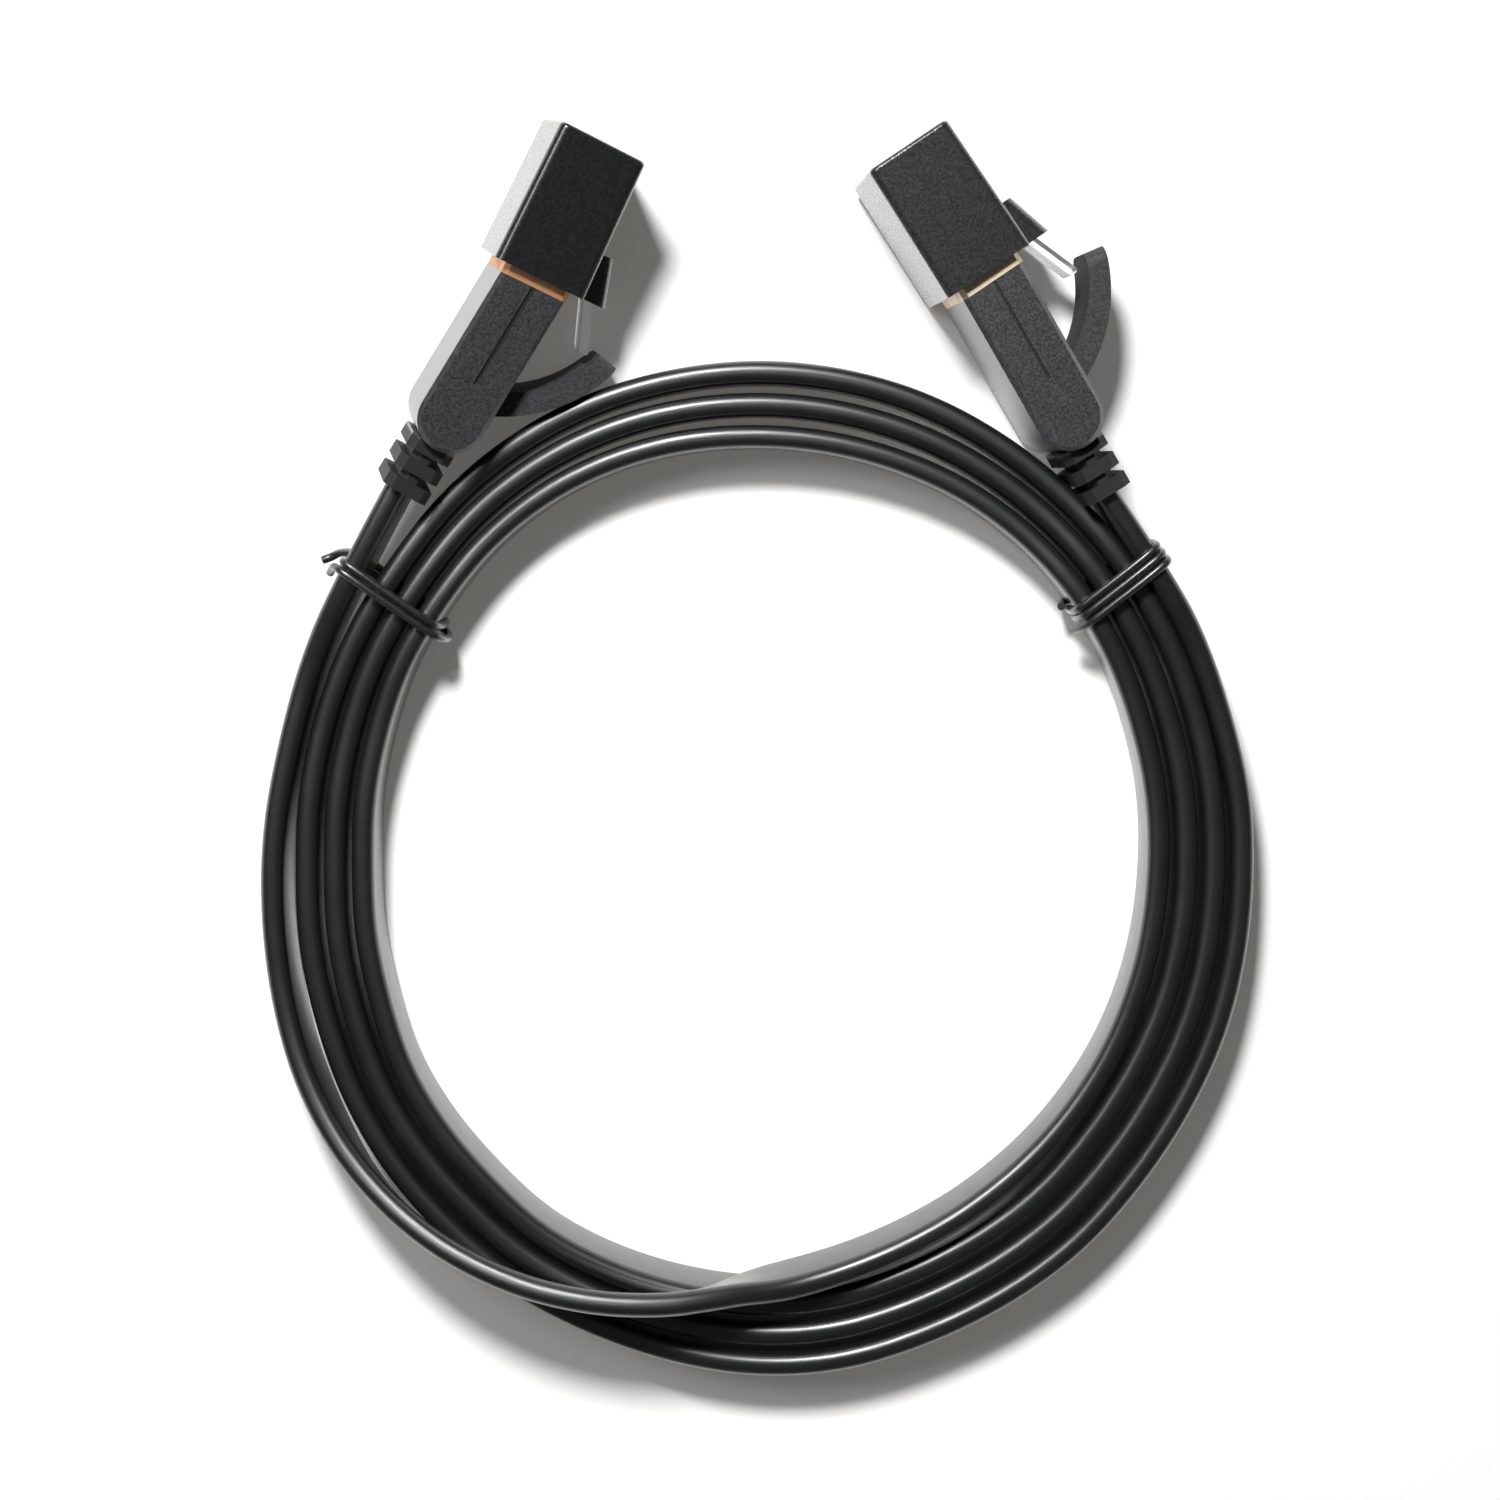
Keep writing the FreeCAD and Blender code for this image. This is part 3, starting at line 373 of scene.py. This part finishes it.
# %% Black plastics
JACKET_BLACK = (0.0075, 0.0085, 0.0095)
JACKET_DARK = (0.005, 0.0056, 0.0062)
JACKET_LIGHT = (0.0087, 0.0096, 0.0106)
JACKET_ROUGHNESS = 0.36
JACKET_SPREAD = 0.04
JACKET_SPECULAR = 0.6
CLOUD_SCALE = 150
JACKET_DETAIL = 3
LINE_STRETCH = (40, 60, 1)
LINE_BUMP = 0.25
LINE_DEPTH = 0.04 * MM


def make_jacket():
    """Soft vinyl with drawn lines along the cable."""
    finish, tree, shader = new_finish("jacket_vinyl", JACKET_BLACK, JACKET_ROUGHNESS)
    add_skin(shader, JACKET_ROUGHNESS)
    shader.inputs["Specular IOR Level"].default_value = JACKET_SPECULAR
    cloud = add_noise(tree, CLOUD_SCALE, JACKET_DETAIL)
    vary(tree, shader.inputs["Base Color"], cloud, JACKET_DARK, JACKET_LIGHT)
    lines = add_lines(tree, LINE_STRETCH, JACKET_DETAIL)
    vary(tree, shader.inputs["Roughness"], lines, grey(JACKET_ROUGHNESS - JACKET_SPREAD),
         grey(JACKET_ROUGHNESS + JACKET_SPREAD))
    add_bump(tree, shader, lines, LINE_BUMP, LINE_DEPTH)
    return finish


jacket_finish = make_jacket()
right_cap_finish = grained_plastic("cap_grain", dark=(0.0165, 0.0165, 0.018), light=(0.032, 0.032, 0.0345),
                                   roughness=0.26, grain_scale=4200, grain_depth=0.04 * MM)
left_cap_finish = grained_plastic("cap_satin", dark=(0.007, 0.0077, 0.0083), light=(0.011, 0.0122, 0.013),
                                  roughness=0.27, grain_scale=3000, grain_depth=0.01 * MM)
tie_finish = grained_plastic("tie_coating", dark=(0.0115, 0.0115, 0.0125), light=(0.019, 0.019, 0.021),
                             roughness=0.33, grain_scale=2500, grain_depth=0.03 * MM)
print("black plastics", right_cap_finish.name, left_cap_finish.name, jacket_finish.name, tie_finish.name)

# %% [markdown]
# Clear polycarbonate is a transmitting shader with the right index of refraction. The plated shields and the
# contacts are metal, with faint marks from handling. The load bar is a milky plastic.

# %% Clear, plated and milky finishes
CLEAR_TINT = (0.96, 0.975, 0.98)
CLEAR_ROUGHNESS = 0.06
CLEAR_INDEX = 1.585
FLOW_SCALE = 240
FLOW_DETAIL = 2
FLOW_SMOOTH, FLOW_ROUGH = 0.03, 0.10
FLOW_BUMP = 0.15
FLOW_DEPTH = 0.1 * MM
MARK_SCALE = 700
MARK_DETAIL = 5
MARK_BAND = (0.3, 0.6)
MARK_ROUGHER, MARK_SMOOTHER = 0.12, 0.04


def clear_plastic(name):
    """Clear moulding with slight flow marks."""
    finish, tree, shader = new_finish(name, CLEAR_TINT, CLEAR_ROUGHNESS)
    shader.inputs["Transmission Weight"].default_value = 1.0
    shader.inputs["IOR"].default_value = CLEAR_INDEX
    flow = add_noise(tree, FLOW_SCALE, FLOW_DETAIL)
    vary(tree, shader.inputs["Roughness"], flow, grey(FLOW_SMOOTH), grey(FLOW_ROUGH))
    add_bump(tree, shader, flow, FLOW_BUMP, FLOW_DEPTH)
    return finish


def plated_metal(name, dark, light, roughness):
    """Bright plated sheet with faint handling marks."""
    finish, tree, shader = new_finish(name, light, roughness)
    shader.inputs["Metallic"].default_value = 1.0
    marks = add_noise(tree, MARK_SCALE, MARK_DETAIL)
    vary(tree, shader.inputs["Base Color"], marks, dark, light, MARK_BAND)
    vary(tree, shader.inputs["Roughness"], marks, grey(roughness + MARK_ROUGHER),
         grey(roughness - MARK_SMOOTHER))
    return finish


clear_finish = clear_plastic("clear_moulding")
contact_finish = plated_metal("blade_gold", dark=(0.72, 0.49, 0.15), light=(0.86, 0.62, 0.22), roughness=0.22)
left_shield_finish = plated_metal("shield_copper", dark=(0.70, 0.36, 0.19), light=(0.86, 0.48, 0.27),
                                  roughness=0.52)
right_shield_finish = plated_metal("shield_gold", dark=(0.78, 0.61, 0.44), light=(0.92, 0.77, 0.60),
                                   roughness=0.50)
load_bar_finish = grained_plastic("load_bar_milky", dark=(0.62, 0.64, 0.65), light=(0.72, 0.74, 0.75),
                                  roughness=0.4, grain_scale=1800, grain_depth=0.02 * MM)
print("clear and plated", clear_finish.name, contact_finish.name)

# %% [markdown]
# The wires take their colours across the plug, eight stripes in the usual order. That pattern is placed in
# the plug's own axes, which come from the frame: the mount at the nose says where the plug points, and the
# latch's hinge lies across it.

# %% Wire colours
WIRE_COLOURS = {
    "white orange": (0.80, 0.62, 0.45), "orange": (0.75, 0.22, 0.03),
    "white green": (0.62, 0.74, 0.60), "blue": (0.03, 0.10, 0.45),
    "white blue": (0.58, 0.66, 0.80), "green": (0.03, 0.25, 0.06),
    "white brown": (0.70, 0.60, 0.50), "brown": (0.18, 0.07, 0.03),
}
WIRE_PITCH = 1.02 * MM
WIRE_ROUGHNESS = 0.45
mounts = {mount["name"]: mount for mount in frame["record"]["mounts"]}
hinges = {joint["name"]: joint for joint in frame["joints"]}


def plug_axes(side):
    """The plug's nose point and two of its axes: back from the nose, and across."""
    nose = Vector(mounts[side + "_plug_nose"]["pos_m"])
    back = -Vector(mounts[side + "_plug_nose"]["axis"]).normalized()
    across = Vector(hinges[side + "_latch_press"]["axis"]).normalized()
    return nose, back, across


def wire_insulation(side):
    """Eight colours across the plug, one for each wire."""
    nose, _, across = plug_axes(side)
    finish, tree, shader = new_finish(side + "_wire_insulation", grey(0.5), WIRE_ROUGHNESS)
    count = len(WIRE_COLOURS)
    middle = nose.dot(across)
    half = WIRE_PITCH * count / 2
    spread = add_range(tree, distance_along(tree, across), middle - half, middle + half)
    stops = [(i / count, colour) for i, colour in enumerate(WIRE_COLOURS.values())]
    stripes = add_ramp(tree, spread, stops)
    stripes.color_ramp.interpolation = "CONSTANT"
    link_nodes(tree, (stripes.outputs["Color"], shader.inputs["Base Color"]))
    return finish


wire_finishes = {side: wire_insulation(side) for side in ("left", "right")}
print("wire colours", len(WIRE_COLOURS))

# %% [markdown]
# The cable is one smooth spline from boot to boot. Its two leads repeat the CAD route. Between them the turns
# are worked out in a loop: stations round the ring say how far in the inner turn lies there and how far apart
# the turns are, and each turn keeps its lane until it passes the bottom, where it moves out by one lane.

# %% Lanes round the ring
# Each station: angle, middle radius of the inner turn and distance between turns, in degrees and millimetres
STATIONS = (
    (0, 39.10, 2.69), (20, 39.70, 2.64), (38, 40.75, 2.53), (45, 41.16, 2.53), (60, 41.45, 2.71),
    (75, 41.40, 3.05), (90, 41.35, 3.08), (105, 41.45, 2.88), (120, 41.05, 2.70), (145, 39.40, 2.48),
    (160, 38.45, 2.62), (180, 37.72, 2.71), (200, 38.50, 2.79), (212, 39.50, 2.73), (225, 40.14, 2.84),
    (245, 41.46, 2.69), (275, 41.70, 3.02), (300, 40.35, 3.02), (330, 39.05, 2.91), (360, 39.10, 2.69),
)
LANE_SHIFT_FROM_DEG = 200
LANE_SHIFT_TO_DEG = 345
CABLE_WIDTH_MM = 7.0
CABLE_THICK_MM = 2.2
TIE_DEGREES = {"left": 143.1, "right": 38.1}
TIE_LIFT_MM = 0.85
TIE_LIFT_SPREAD_DEG = 8.0


def ease(share):
    """Smooth step from 0 to 1."""
    share = min(max(share, 0.0), 1.0)
    return share * share * (3 - 2 * share)


def lane_radius(degrees, lane):
    """Middle radius of a lane in millimetres; lanes count from 0 inside to 3 outside."""
    degrees = degrees % 360
    for low, high in zip(STATIONS, STATIONS[1:]):
        if low[0] <= degrees <= high[0]:
            share = ease((degrees - low[0]) / (high[0] - low[0]))
            inner = low[1] + (high[1] - low[1]) * share
            pitch = low[2] + (high[2] - low[2]) * share
    return inner + lane * pitch


def turn_height(degrees):
    """Height of a turn's middle in millimetres: on the table, but lifted a little by the ties' wires."""
    lift = 0.0
    for tie in TIE_DEGREES.values():
        lift += TIE_LIFT_MM * math.exp(-((degrees % 360 - tie) / TIE_LIFT_SPREAD_DEG) ** 2)
    return CABLE_WIDTH_MM / 2 + lift


print("inner turn at the top", round(lane_radius(90, 0), 2))
print("outer turn at the left", round(lane_radius(180, 3), 2))

# %% [markdown]
# At the bottom of the ring the first turn climbs over the three others and comes down inside them. That hump
# is long and low, and its points are listed one by one.

# %% Route of the cable
# Points of the two leads, in millimetres from the ring's centre
LEFT_LEAD = ((-33.64, 36.38, 6.64), (-38.04, 28.48, 6.27), (-42.15, 20.63, 3.75))
RIGHT_LEAD = ((42.82, 20.92, 3.75), (38.25, 28.58, 5.49), (33.23, 35.74, 5.90))
# Each point of the first turn and its crossing: angle, radius and height in degrees and millimetres
CROSSING = (
    (165, 46.2, 3.5), (176, 46.45, 3.5), (187, 46.85, 3.5), (198, 47.6, 3.75), (208, 48.1, 5.0),
    (218, 48.3, 7.0), (228, 47.65, 9.0), (239, 46.0, 10.3), (249, 44.2, 10.8), (258, 42.6, 10.5),
    (264, 41.6, 9.5), (269, 40.9, 7.9), (275, 40.5, 6.6), (281, 40.1, 5.95), (287, 39.75, 5.6),
    (294, 39.45, 5.4), (303, 39.3, 5.0), (314, 39.3, 4.2), (325, 39.25, 3.65), (336, 39.2, 3.5),
    (348, 39.1, 3.5),
)
TURN_STEP_DEG = 10
WOUND_DEG = 4 * 360
PAST_WOUND_DEG = 12
CABLE_STEPS = 6


def coil_points():
    """Points of the wound turns, from the outer turn at the left to the outer turn at the right."""
    points = [ring_point(radius, a, z) for a, radius, z in CROSSING]
    for unwound in range(360, WOUND_DEG + PAST_WOUND_DEG + 1, TURN_STEP_DEG):
        a = unwound % 360
        shifted = ease((a - LANE_SHIFT_FROM_DEG) / (LANE_SHIFT_TO_DEG - LANE_SHIFT_FROM_DEG))
        lane = unwound // 360 - 1 + shifted
        height = CABLE_WIDTH_MM / 2 if unwound > WOUND_DEG else turn_height(a)
        points.append(ring_point(lane_radius(a, lane), a, height))
    return points


def lead_points(lead):
    """Points of a lead in the frame."""
    return [RING_CENTRE + Vector(point) * MM for point in lead]


def smooth_curve(name, points, steps):
    """Object with a smooth spline that has the given control points."""
    curve = bpy.data.curves.new(name, "CURVE")
    curve.dimensions = "3D"
    curve.resolution_u = steps
    spline = curve.splines.new("NURBS")
    spline.points.add(len(points) - 1)
    for control, point in zip(spline.points, points):
        control.co = (*point, 1)
    spline.order_u = 3
    spline.use_endpoint_u = True
    holder = bpy.data.objects.new(name, curve)
    bpy.context.scene.collection.objects.link(holder)
    return holder


def to_mesh(holder):
    """Mesh of a curve object as it stands, after which the curve is removed."""
    evaluated = holder.evaluated_get(bpy.context.evaluated_depsgraph_get())
    mesh = bpy.data.meshes.new_from_object(evaluated)
    curve = holder.data
    bpy.data.objects.remove(holder)
    bpy.data.curves.remove(curve)
    return mesh


def read_spline(name, points, steps):
    """Points along a smooth spline."""
    line = to_mesh(smooth_curve(name, points, steps))
    read = [vertex.co.copy() for vertex in line.vertices]
    bpy.data.meshes.remove(line)
    return read


def line_length(points):
    """Length of a line through points."""
    return sum((b - a).length for a, b in zip(points, points[1:]))


route = lead_points(LEFT_LEAD) + coil_points() + lead_points(RIGHT_LEAD)
cable_line = read_spline("cable_route", route, CABLE_STEPS)
print("cable length", round(line_length(cable_line), 4), "points", len(cable_line))

# %% [markdown]
# The jacket's mesh is the cable's flat section, carried along that line on edge. Where the crossing turn
# climbs over the others it leans in, and it stands up again once it is past them. The UV map runs along the
# cable, in tenths of a metre, and once round the section, so that the finish can follow both. The edges of
# the two cut ends are kept sharp, because smooth ones would bend the shine on the first millimetres of the
# jacket.

# %% Flat cable
EDGE_STEPS = 6
EDGE_R_MM = 0.95
LEAN_DEG = 20
LEAN_FROM_MM = 4.2
LEAN_RISE_MM = 5.0
LEAN_END_DEG = 277
LEAN_FADE_DEG = 16
UV_PER_METRE = 10


def flat_section():
    """Rounded flat section: offsets to the side and up, in metres."""
    half_side = CABLE_THICK_MM / 2 - EDGE_R_MM
    half_up = CABLE_WIDTH_MM / 2 - EDGE_R_MM
    corners = ((1, 1, 0), (-1, 1, 90), (-1, -1, 180), (1, -1, 270))
    section = []
    for side, up, start in corners:
        for step in range(EDGE_STEPS + 1):
            angle = math.radians(start + 90 * step / EDGE_STEPS)
            section.append(((side * half_side + EDGE_R_MM * math.cos(angle)) * MM,
                            (up * half_up + EDGE_R_MM * math.sin(angle)) * MM))
    return section


def lean_at(point):
    """How far the section leans in: as the lifted turn rises, and until it has crossed the others."""
    if point.y > RING_CENTRE.y:
        return 0.0
    risen = ease((point.z / MM - LEAN_FROM_MM) / LEAN_RISE_MM)
    return math.radians(LEAN_DEG) * risen * ease((LEAN_END_DEG - angle_of(point)) / LEAN_FADE_DEG)


def make_cable(line):
    """Sweeps the flat section along the line, standing on edge."""
    section = flat_section()
    around = len(section)
    mesh = bmesh.new()
    uv = mesh.loops.layers.uv.new("cable")
    rings = []
    along = [0.0]
    for i, point in enumerate(line):
        ahead = line[min(i + 1, len(line) - 1)] - line[max(i - 1, 0)]
        ahead.normalize()
        level = ahead.cross(Vector((0, 0, 1))).normalized()
        lean = lean_at(point)
        side = level * math.cos(lean) + level.cross(ahead) * math.sin(lean)
        up = side.cross(ahead)
        rings.append([mesh.verts.new(point + side * s + up * u) for s, u in section])
        if i:
            along.append(along[-1] + (point - line[i - 1]).length)
    for i in range(len(rings) - 1):
        for j in range(around):
            k = (j + 1) % around
            face = mesh.faces.new((rings[i][j], rings[i + 1][j], rings[i + 1][k], rings[i][k]))
            places = ((i, j), (i + 1, j), (i + 1, j + 1), (i, j + 1))
            for loop, (a, b) in zip(face.loops, places):
                loop[uv].uv = (along[a] * UV_PER_METRE, b / around)
    for cut in (mesh.faces.new(rings[0]), mesh.faces.new(list(reversed(rings[-1])))):
        for edge in cut.edges:
            edge.smooth = False
    bmesh.ops.recalc_face_normals(mesh, faces=mesh.faces)
    data = bpy.data.meshes.new("flat_cable")
    mesh.to_mesh(data)
    mesh.free()
    data.shade_smooth()
    return data


def add_object(name, mesh):
    """New object at the origin."""
    made = bpy.data.objects.new(name, mesh)
    bpy.context.scene.collection.objects.link(made)
    return made


cable = add_object("flat_cable", make_cable(cable_line))
cable.data.materials.append(jacket_finish)
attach(cable, "cable")
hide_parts("cable_coil", "left_lead", "right_lead")
print("cable faces", len(cable.data.polygons))

# %% [markdown]
# The ties are soft coated wire, wound round the ring. Geometry Nodes sweep a round section along each wire's
# spline: one small tree with the wire's radius and its number of sides as inputs serves both ties.

# %% Tree that makes wire
WIRE_SIDES = 12
TIE_STEPS = 5


def socket_id(tree, name):
    """Identifier of a tree's named input."""
    return next(item.identifier for item in tree.interface.items_tree
                if item.item_type == "SOCKET" and item.in_out == "INPUT" and item.name == name)


def wire_tree(finish):
    """Geometry Nodes: a round section along a curve, closed at both ends."""
    tree = bpy.data.node_groups.new("coated_wire", "GeometryNodeTree")
    tree.interface.new_socket("Geometry", in_out="INPUT", socket_type="NodeSocketGeometry")
    tree.interface.new_socket("Radius", in_out="INPUT", socket_type="NodeSocketFloat")
    tree.interface.new_socket("Sides", in_out="INPUT", socket_type="NodeSocketInt")
    tree.interface.new_socket("Geometry", in_out="OUTPUT", socket_type="NodeSocketGeometry")
    start = tree.nodes.new("NodeGroupInput")
    end = tree.nodes.new("NodeGroupOutput")
    section = tree.nodes.new("GeometryNodeCurvePrimitiveCircle")
    sweep = tree.nodes.new("GeometryNodeCurveToMesh")
    sweep.inputs["Fill Caps"].default_value = True
    smooth = tree.nodes.new("GeometryNodeSetShadeSmooth")
    realize = tree.nodes.new("GeometryNodeRealizeInstances")
    paint = tree.nodes.new("GeometryNodeSetMaterial")
    paint.inputs["Material"].default_value = finish
    link_nodes(tree, (start.outputs["Geometry"], sweep.inputs["Curve"]),
               (start.outputs["Radius"], section.inputs["Radius"]),
               (start.outputs["Sides"], section.inputs["Resolution"]),
               (section.outputs["Curve"], sweep.inputs["Profile Curve"]),
               (sweep.outputs["Mesh"], smooth.inputs["Geometry"]),
               (smooth.outputs["Geometry"], realize.inputs["Geometry"]),
               (realize.outputs["Geometry"], paint.inputs["Geometry"]),
               (paint.outputs["Geometry"], end.inputs["Geometry"]))
    return tree


coated_wire = wire_tree(tie_finish)


def sweep_wire(name, points, radius):
    """Solid wire along a smooth spline, made by the tree and kept as a plain mesh."""
    holder = smooth_curve(name + "_line", points, TIE_STEPS)
    modifier = holder.modifiers.new("wire", "NODES")
    modifier.node_group = coated_wire
    modifier[socket_id(coated_wire, "Radius")] = radius
    modifier[socket_id(coated_wire, "Sides")] = WIRE_SIDES
    mesh = to_mesh(holder)
    mesh.name = name
    return add_object(name, mesh)


print("tree", coated_wire.name, "nodes", len(coated_wire.nodes))

# %% [markdown]
# Each tie is one wire. It passes under the lifted turns, up the inner side, over their upper edges and down
# the outer side, and moves along by a little more than its own thickness with each loop. The left tie's last
# loop stands off a little inside the ring, and its two short ends cross outside. The right tie's ends are
# tucked in at the inner side.

# %% Ties
TIE_WIRE_R_MM = 0.4
TIE_GAP_MM = 0.04
TIE_SOFT_MM = 1.0
NEAR_TIE_DEG = 1.2
INNER_CORNERS = (3, 4)
# Each end, from the wire's tip inwards, in millimetres: out from the loops, along the cable, and height
LEFT_TIE_ENDS = (
    ((1.6, 1.1, 7.2), (1.1, 0.4, 7.4), (0.9, -0.4, 5.8)),
    ((0.4, 1.75, 6.6), (0.4, 1.0, 7.6)),
)
RIGHT_TIE_ENDS = (
    ((-1.1, -1.1, 5.2), (-0.5, -1.2, 6.6)),
    ((-0.5, 1.3, 4.6), (-0.3, 1.2, 3.4)),
)
# Each tie: side, loops, shift of each loop, first corner, ends, and how far the last loop stands off inside,
# with lengths in millimetres
TIES = (("left", 2, 0.82, 0, LEFT_TIE_ENDS, 1.1), ("right", 3, 0.86, 4, RIGHT_TIE_ENDS, 0.0))


def tie_point(degrees, radius_mm, along_mm, z_mm):
    """Point in the plane of a tie, shifted along the cable."""
    aside = math.radians(degrees + 90)
    shift = Vector((math.cos(aside), math.sin(aside), 0)) * along_mm * MM
    return ring_point(radius_mm, degrees, z_mm) + shift


def lead_at(degrees):
    """Radius and upper edge, in millimetres, of the strand that lies farthest out at an angle."""
    close = [p for p in cable_line if abs(angle_of(p) - degrees) < NEAR_TIE_DEG]
    outermost = max(close, key=lambda p: (p - RING_CENTRE).xy.length)
    return (outermost - RING_CENTRE).xy.length / MM, outermost.z / MM + CABLE_WIDTH_MM / 2


def tie_corners(degrees):
    """Corners of one loop as radius and height, two for each rounded one, from the outer side downwards."""
    r = TIE_WIRE_R_MM + TIE_GAP_MM
    soft = TIE_SOFT_MM
    lead_radius, lead_top = lead_at(degrees)
    inner = lane_radius(degrees, 0) - CABLE_THICK_MM / 2 - r
    outer = lead_radius + CABLE_THICK_MM / 2 + r
    low = TIE_WIRE_R_MM + TIE_GAP_MM / 2
    inner_top = CABLE_WIDTH_MM + TIE_LIFT_MM + r
    outer_top = lead_top + r
    return ((outer, low + soft), (outer - soft, low), (inner + soft, low), (inner, low + soft),
            (inner, inner_top - soft), (inner + soft, inner_top), (outer - soft, outer_top),
            (outer, outer_top - soft))


def tie_line(side, loops, step, first_corner, ends, loose):
    """Points of one tie: its first end, the loops from one of their corners, and its second end."""
    degrees = TIE_DEGREES[side]
    corners = tie_corners(degrees)
    count = len(corners)
    base = corners[first_corner][0]
    points = [tie_point(degrees, base + out, along, z) for out, along, z in ends[0]]
    for k in range(count * loops):
        corner = (first_corner + k) % count
        radius, z = corners[corner]
        if corner in INNER_CORNERS and k >= count * (loops - 1):
            radius -= loose
        points.append(tie_point(degrees, radius, step * (k / count - loops / 2), z))
    points += [tie_point(degrees, base + out, along, z) for out, along, z in reversed(ends[1])]
    return points


for side, *winding in TIES:
    tie = sweep_wire(side + "_wire_tie", tie_line(side, *winding), TIE_WIRE_R_MM * MM)
    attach(tie, "cable")
    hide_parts(side + "_tie")
    print(tie.name, "faces", len(tie.data.polygons))

# %% [markdown]
# The boots share one kind of plastic in three states. Their flat bodies have the mould's grain and look dark
# grey. The thin fin is duller, and so are the ribs of the strain relief, whose colour is painted nearly black
# as painted shade of the rounded ribs. Painted shade also darkens the seam along the middle of each side. All
# of that follows the boot's own axis, which runs from the plug's tail to the end of the cable, so each mask is
# measured along that axis or across it.

# %% Boot finish
BOOT_FRONT = 13.7 * MM
BOOT_LENGTH = 17.4 * MM
BOOT_HALF_HEIGHT = 3.3 * MM
BOOT_EDGE = 0.3 * MM
SEAM_LENGTH = 10.5 * MM
SEAM_REACH = 0.6 * MM
SEAM_STOPS = ((0.35, grey(0)), (0.40, grey(1)), (0.60, grey(1)), (0.65, grey(0)))
# Colour of the painted shade on the strain relief's ribs and in the seam
PAINTED_SHADE_BLACK = (0.0115, 0.0115, 0.0125)
DULL_ROUGHNESS = 0.62


def lay_over(tree, socket, mask, colour):
    """Lays a colour or a grey over what feeds a socket, where a mask says so."""
    over = tree.nodes.new("ShaderNodeMixRGB")
    over.inputs["Color2"].default_value = (*colour, 1)
    under = socket.links[0].from_socket
    link_nodes(tree, (mask, over.inputs["Fac"]), (under, over.inputs["Color1"]),
               (over.outputs["Color"], socket))


def boot_plastic(side, relief_end):
    """Grained plastic, duller on the fin and the strain relief, with painted shade on the relief and in the seam.
    """
    nose, back, across = plug_axes(side)
    front = nose + back * BOOT_FRONT
    axis = (relief_end - front).normalized()
    finish = grained_plastic(side + "_boot_grain", dark=(0.021, 0.021, 0.023), light=(0.054, 0.054, 0.060),
                             roughness=0.34, grain_scale=4200, grain_depth=0.05 * MM)
    tree = finish.node_tree
    along = distance_along(tree, axis)
    tail = front.dot(axis) + BOOT_LENGTH
    seam_end = front.dot(axis) + SEAM_LENGTH
    relief = add_range(tree, along, tail, tail + BOOT_EDGE)
    in_seam = add_range(tree, along, seam_end, seam_end - BOOT_EDGE)
    level = axis.cross(across)
    above = distance_along(tree, level)
    middle = front.dot(level)
    top = middle + BOOT_HALF_HEIGHT
    fin = add_range(tree, above, top, top + BOOT_EDGE)
    aside = add_range(tree, above, middle - SEAM_REACH, middle + SEAM_REACH)
    band = add_ramp(tree, aside, SEAM_STOPS)
    seam = join_masks(tree, "MULTIPLY", band.outputs["Color"], in_seam)
    shader = tree.nodes["Principled BSDF"]
    # Painted shade: the relief and the seam get a near-black colour
    lay_over(tree, shader.inputs["Base Color"], join_masks(tree, "MAXIMUM", relief, seam), PAINTED_SHADE_BLACK)
    dull = join_masks(tree, "MAXIMUM", relief, fin)
    lay_over(tree, shader.inputs["Roughness"], dull, grey(DULL_ROUGHNESS))
    link_nodes(tree, (add_range(tree, dull, 1, 0), shader.inputs["Coat Weight"]))
    return finish


boot_finishes = {"left": boot_plastic("left", route[0]), "right": boot_plastic("right", route[-1])}
print("boot finishes", [finish.name for finish in boot_finishes.values()])

# %% [markdown]
# The rigid pieces keep the CAD's shape, so each only gets its finish.

# %% Finishes for the rigid pieces
RIGID_FINISHES = {
    "left_boot": boot_finishes["left"], "right_boot": boot_finishes["right"],
    "left_dust_cap": left_cap_finish, "right_dust_cap": right_cap_finish,
    "left_latch": clear_finish, "right_latch": clear_finish,
    "left_plug_housing": clear_finish, "right_plug_housing": clear_finish,
    "left_shield": left_shield_finish, "right_shield": right_shield_finish,
    "left_contacts": contact_finish, "right_contacts": contact_finish,
    "left_load_bar": load_bar_finish, "right_load_bar": load_bar_finish,
    "left_wires": wire_finishes["left"], "right_wires": wire_finishes["right"],
}
for name, finish in RIGID_FINISHES.items():
    mesh = nodes[name].data
    mesh.materials.clear()
    mesh.materials.append(finish)
print("rigid finishes", len(RIGID_FINISHES))
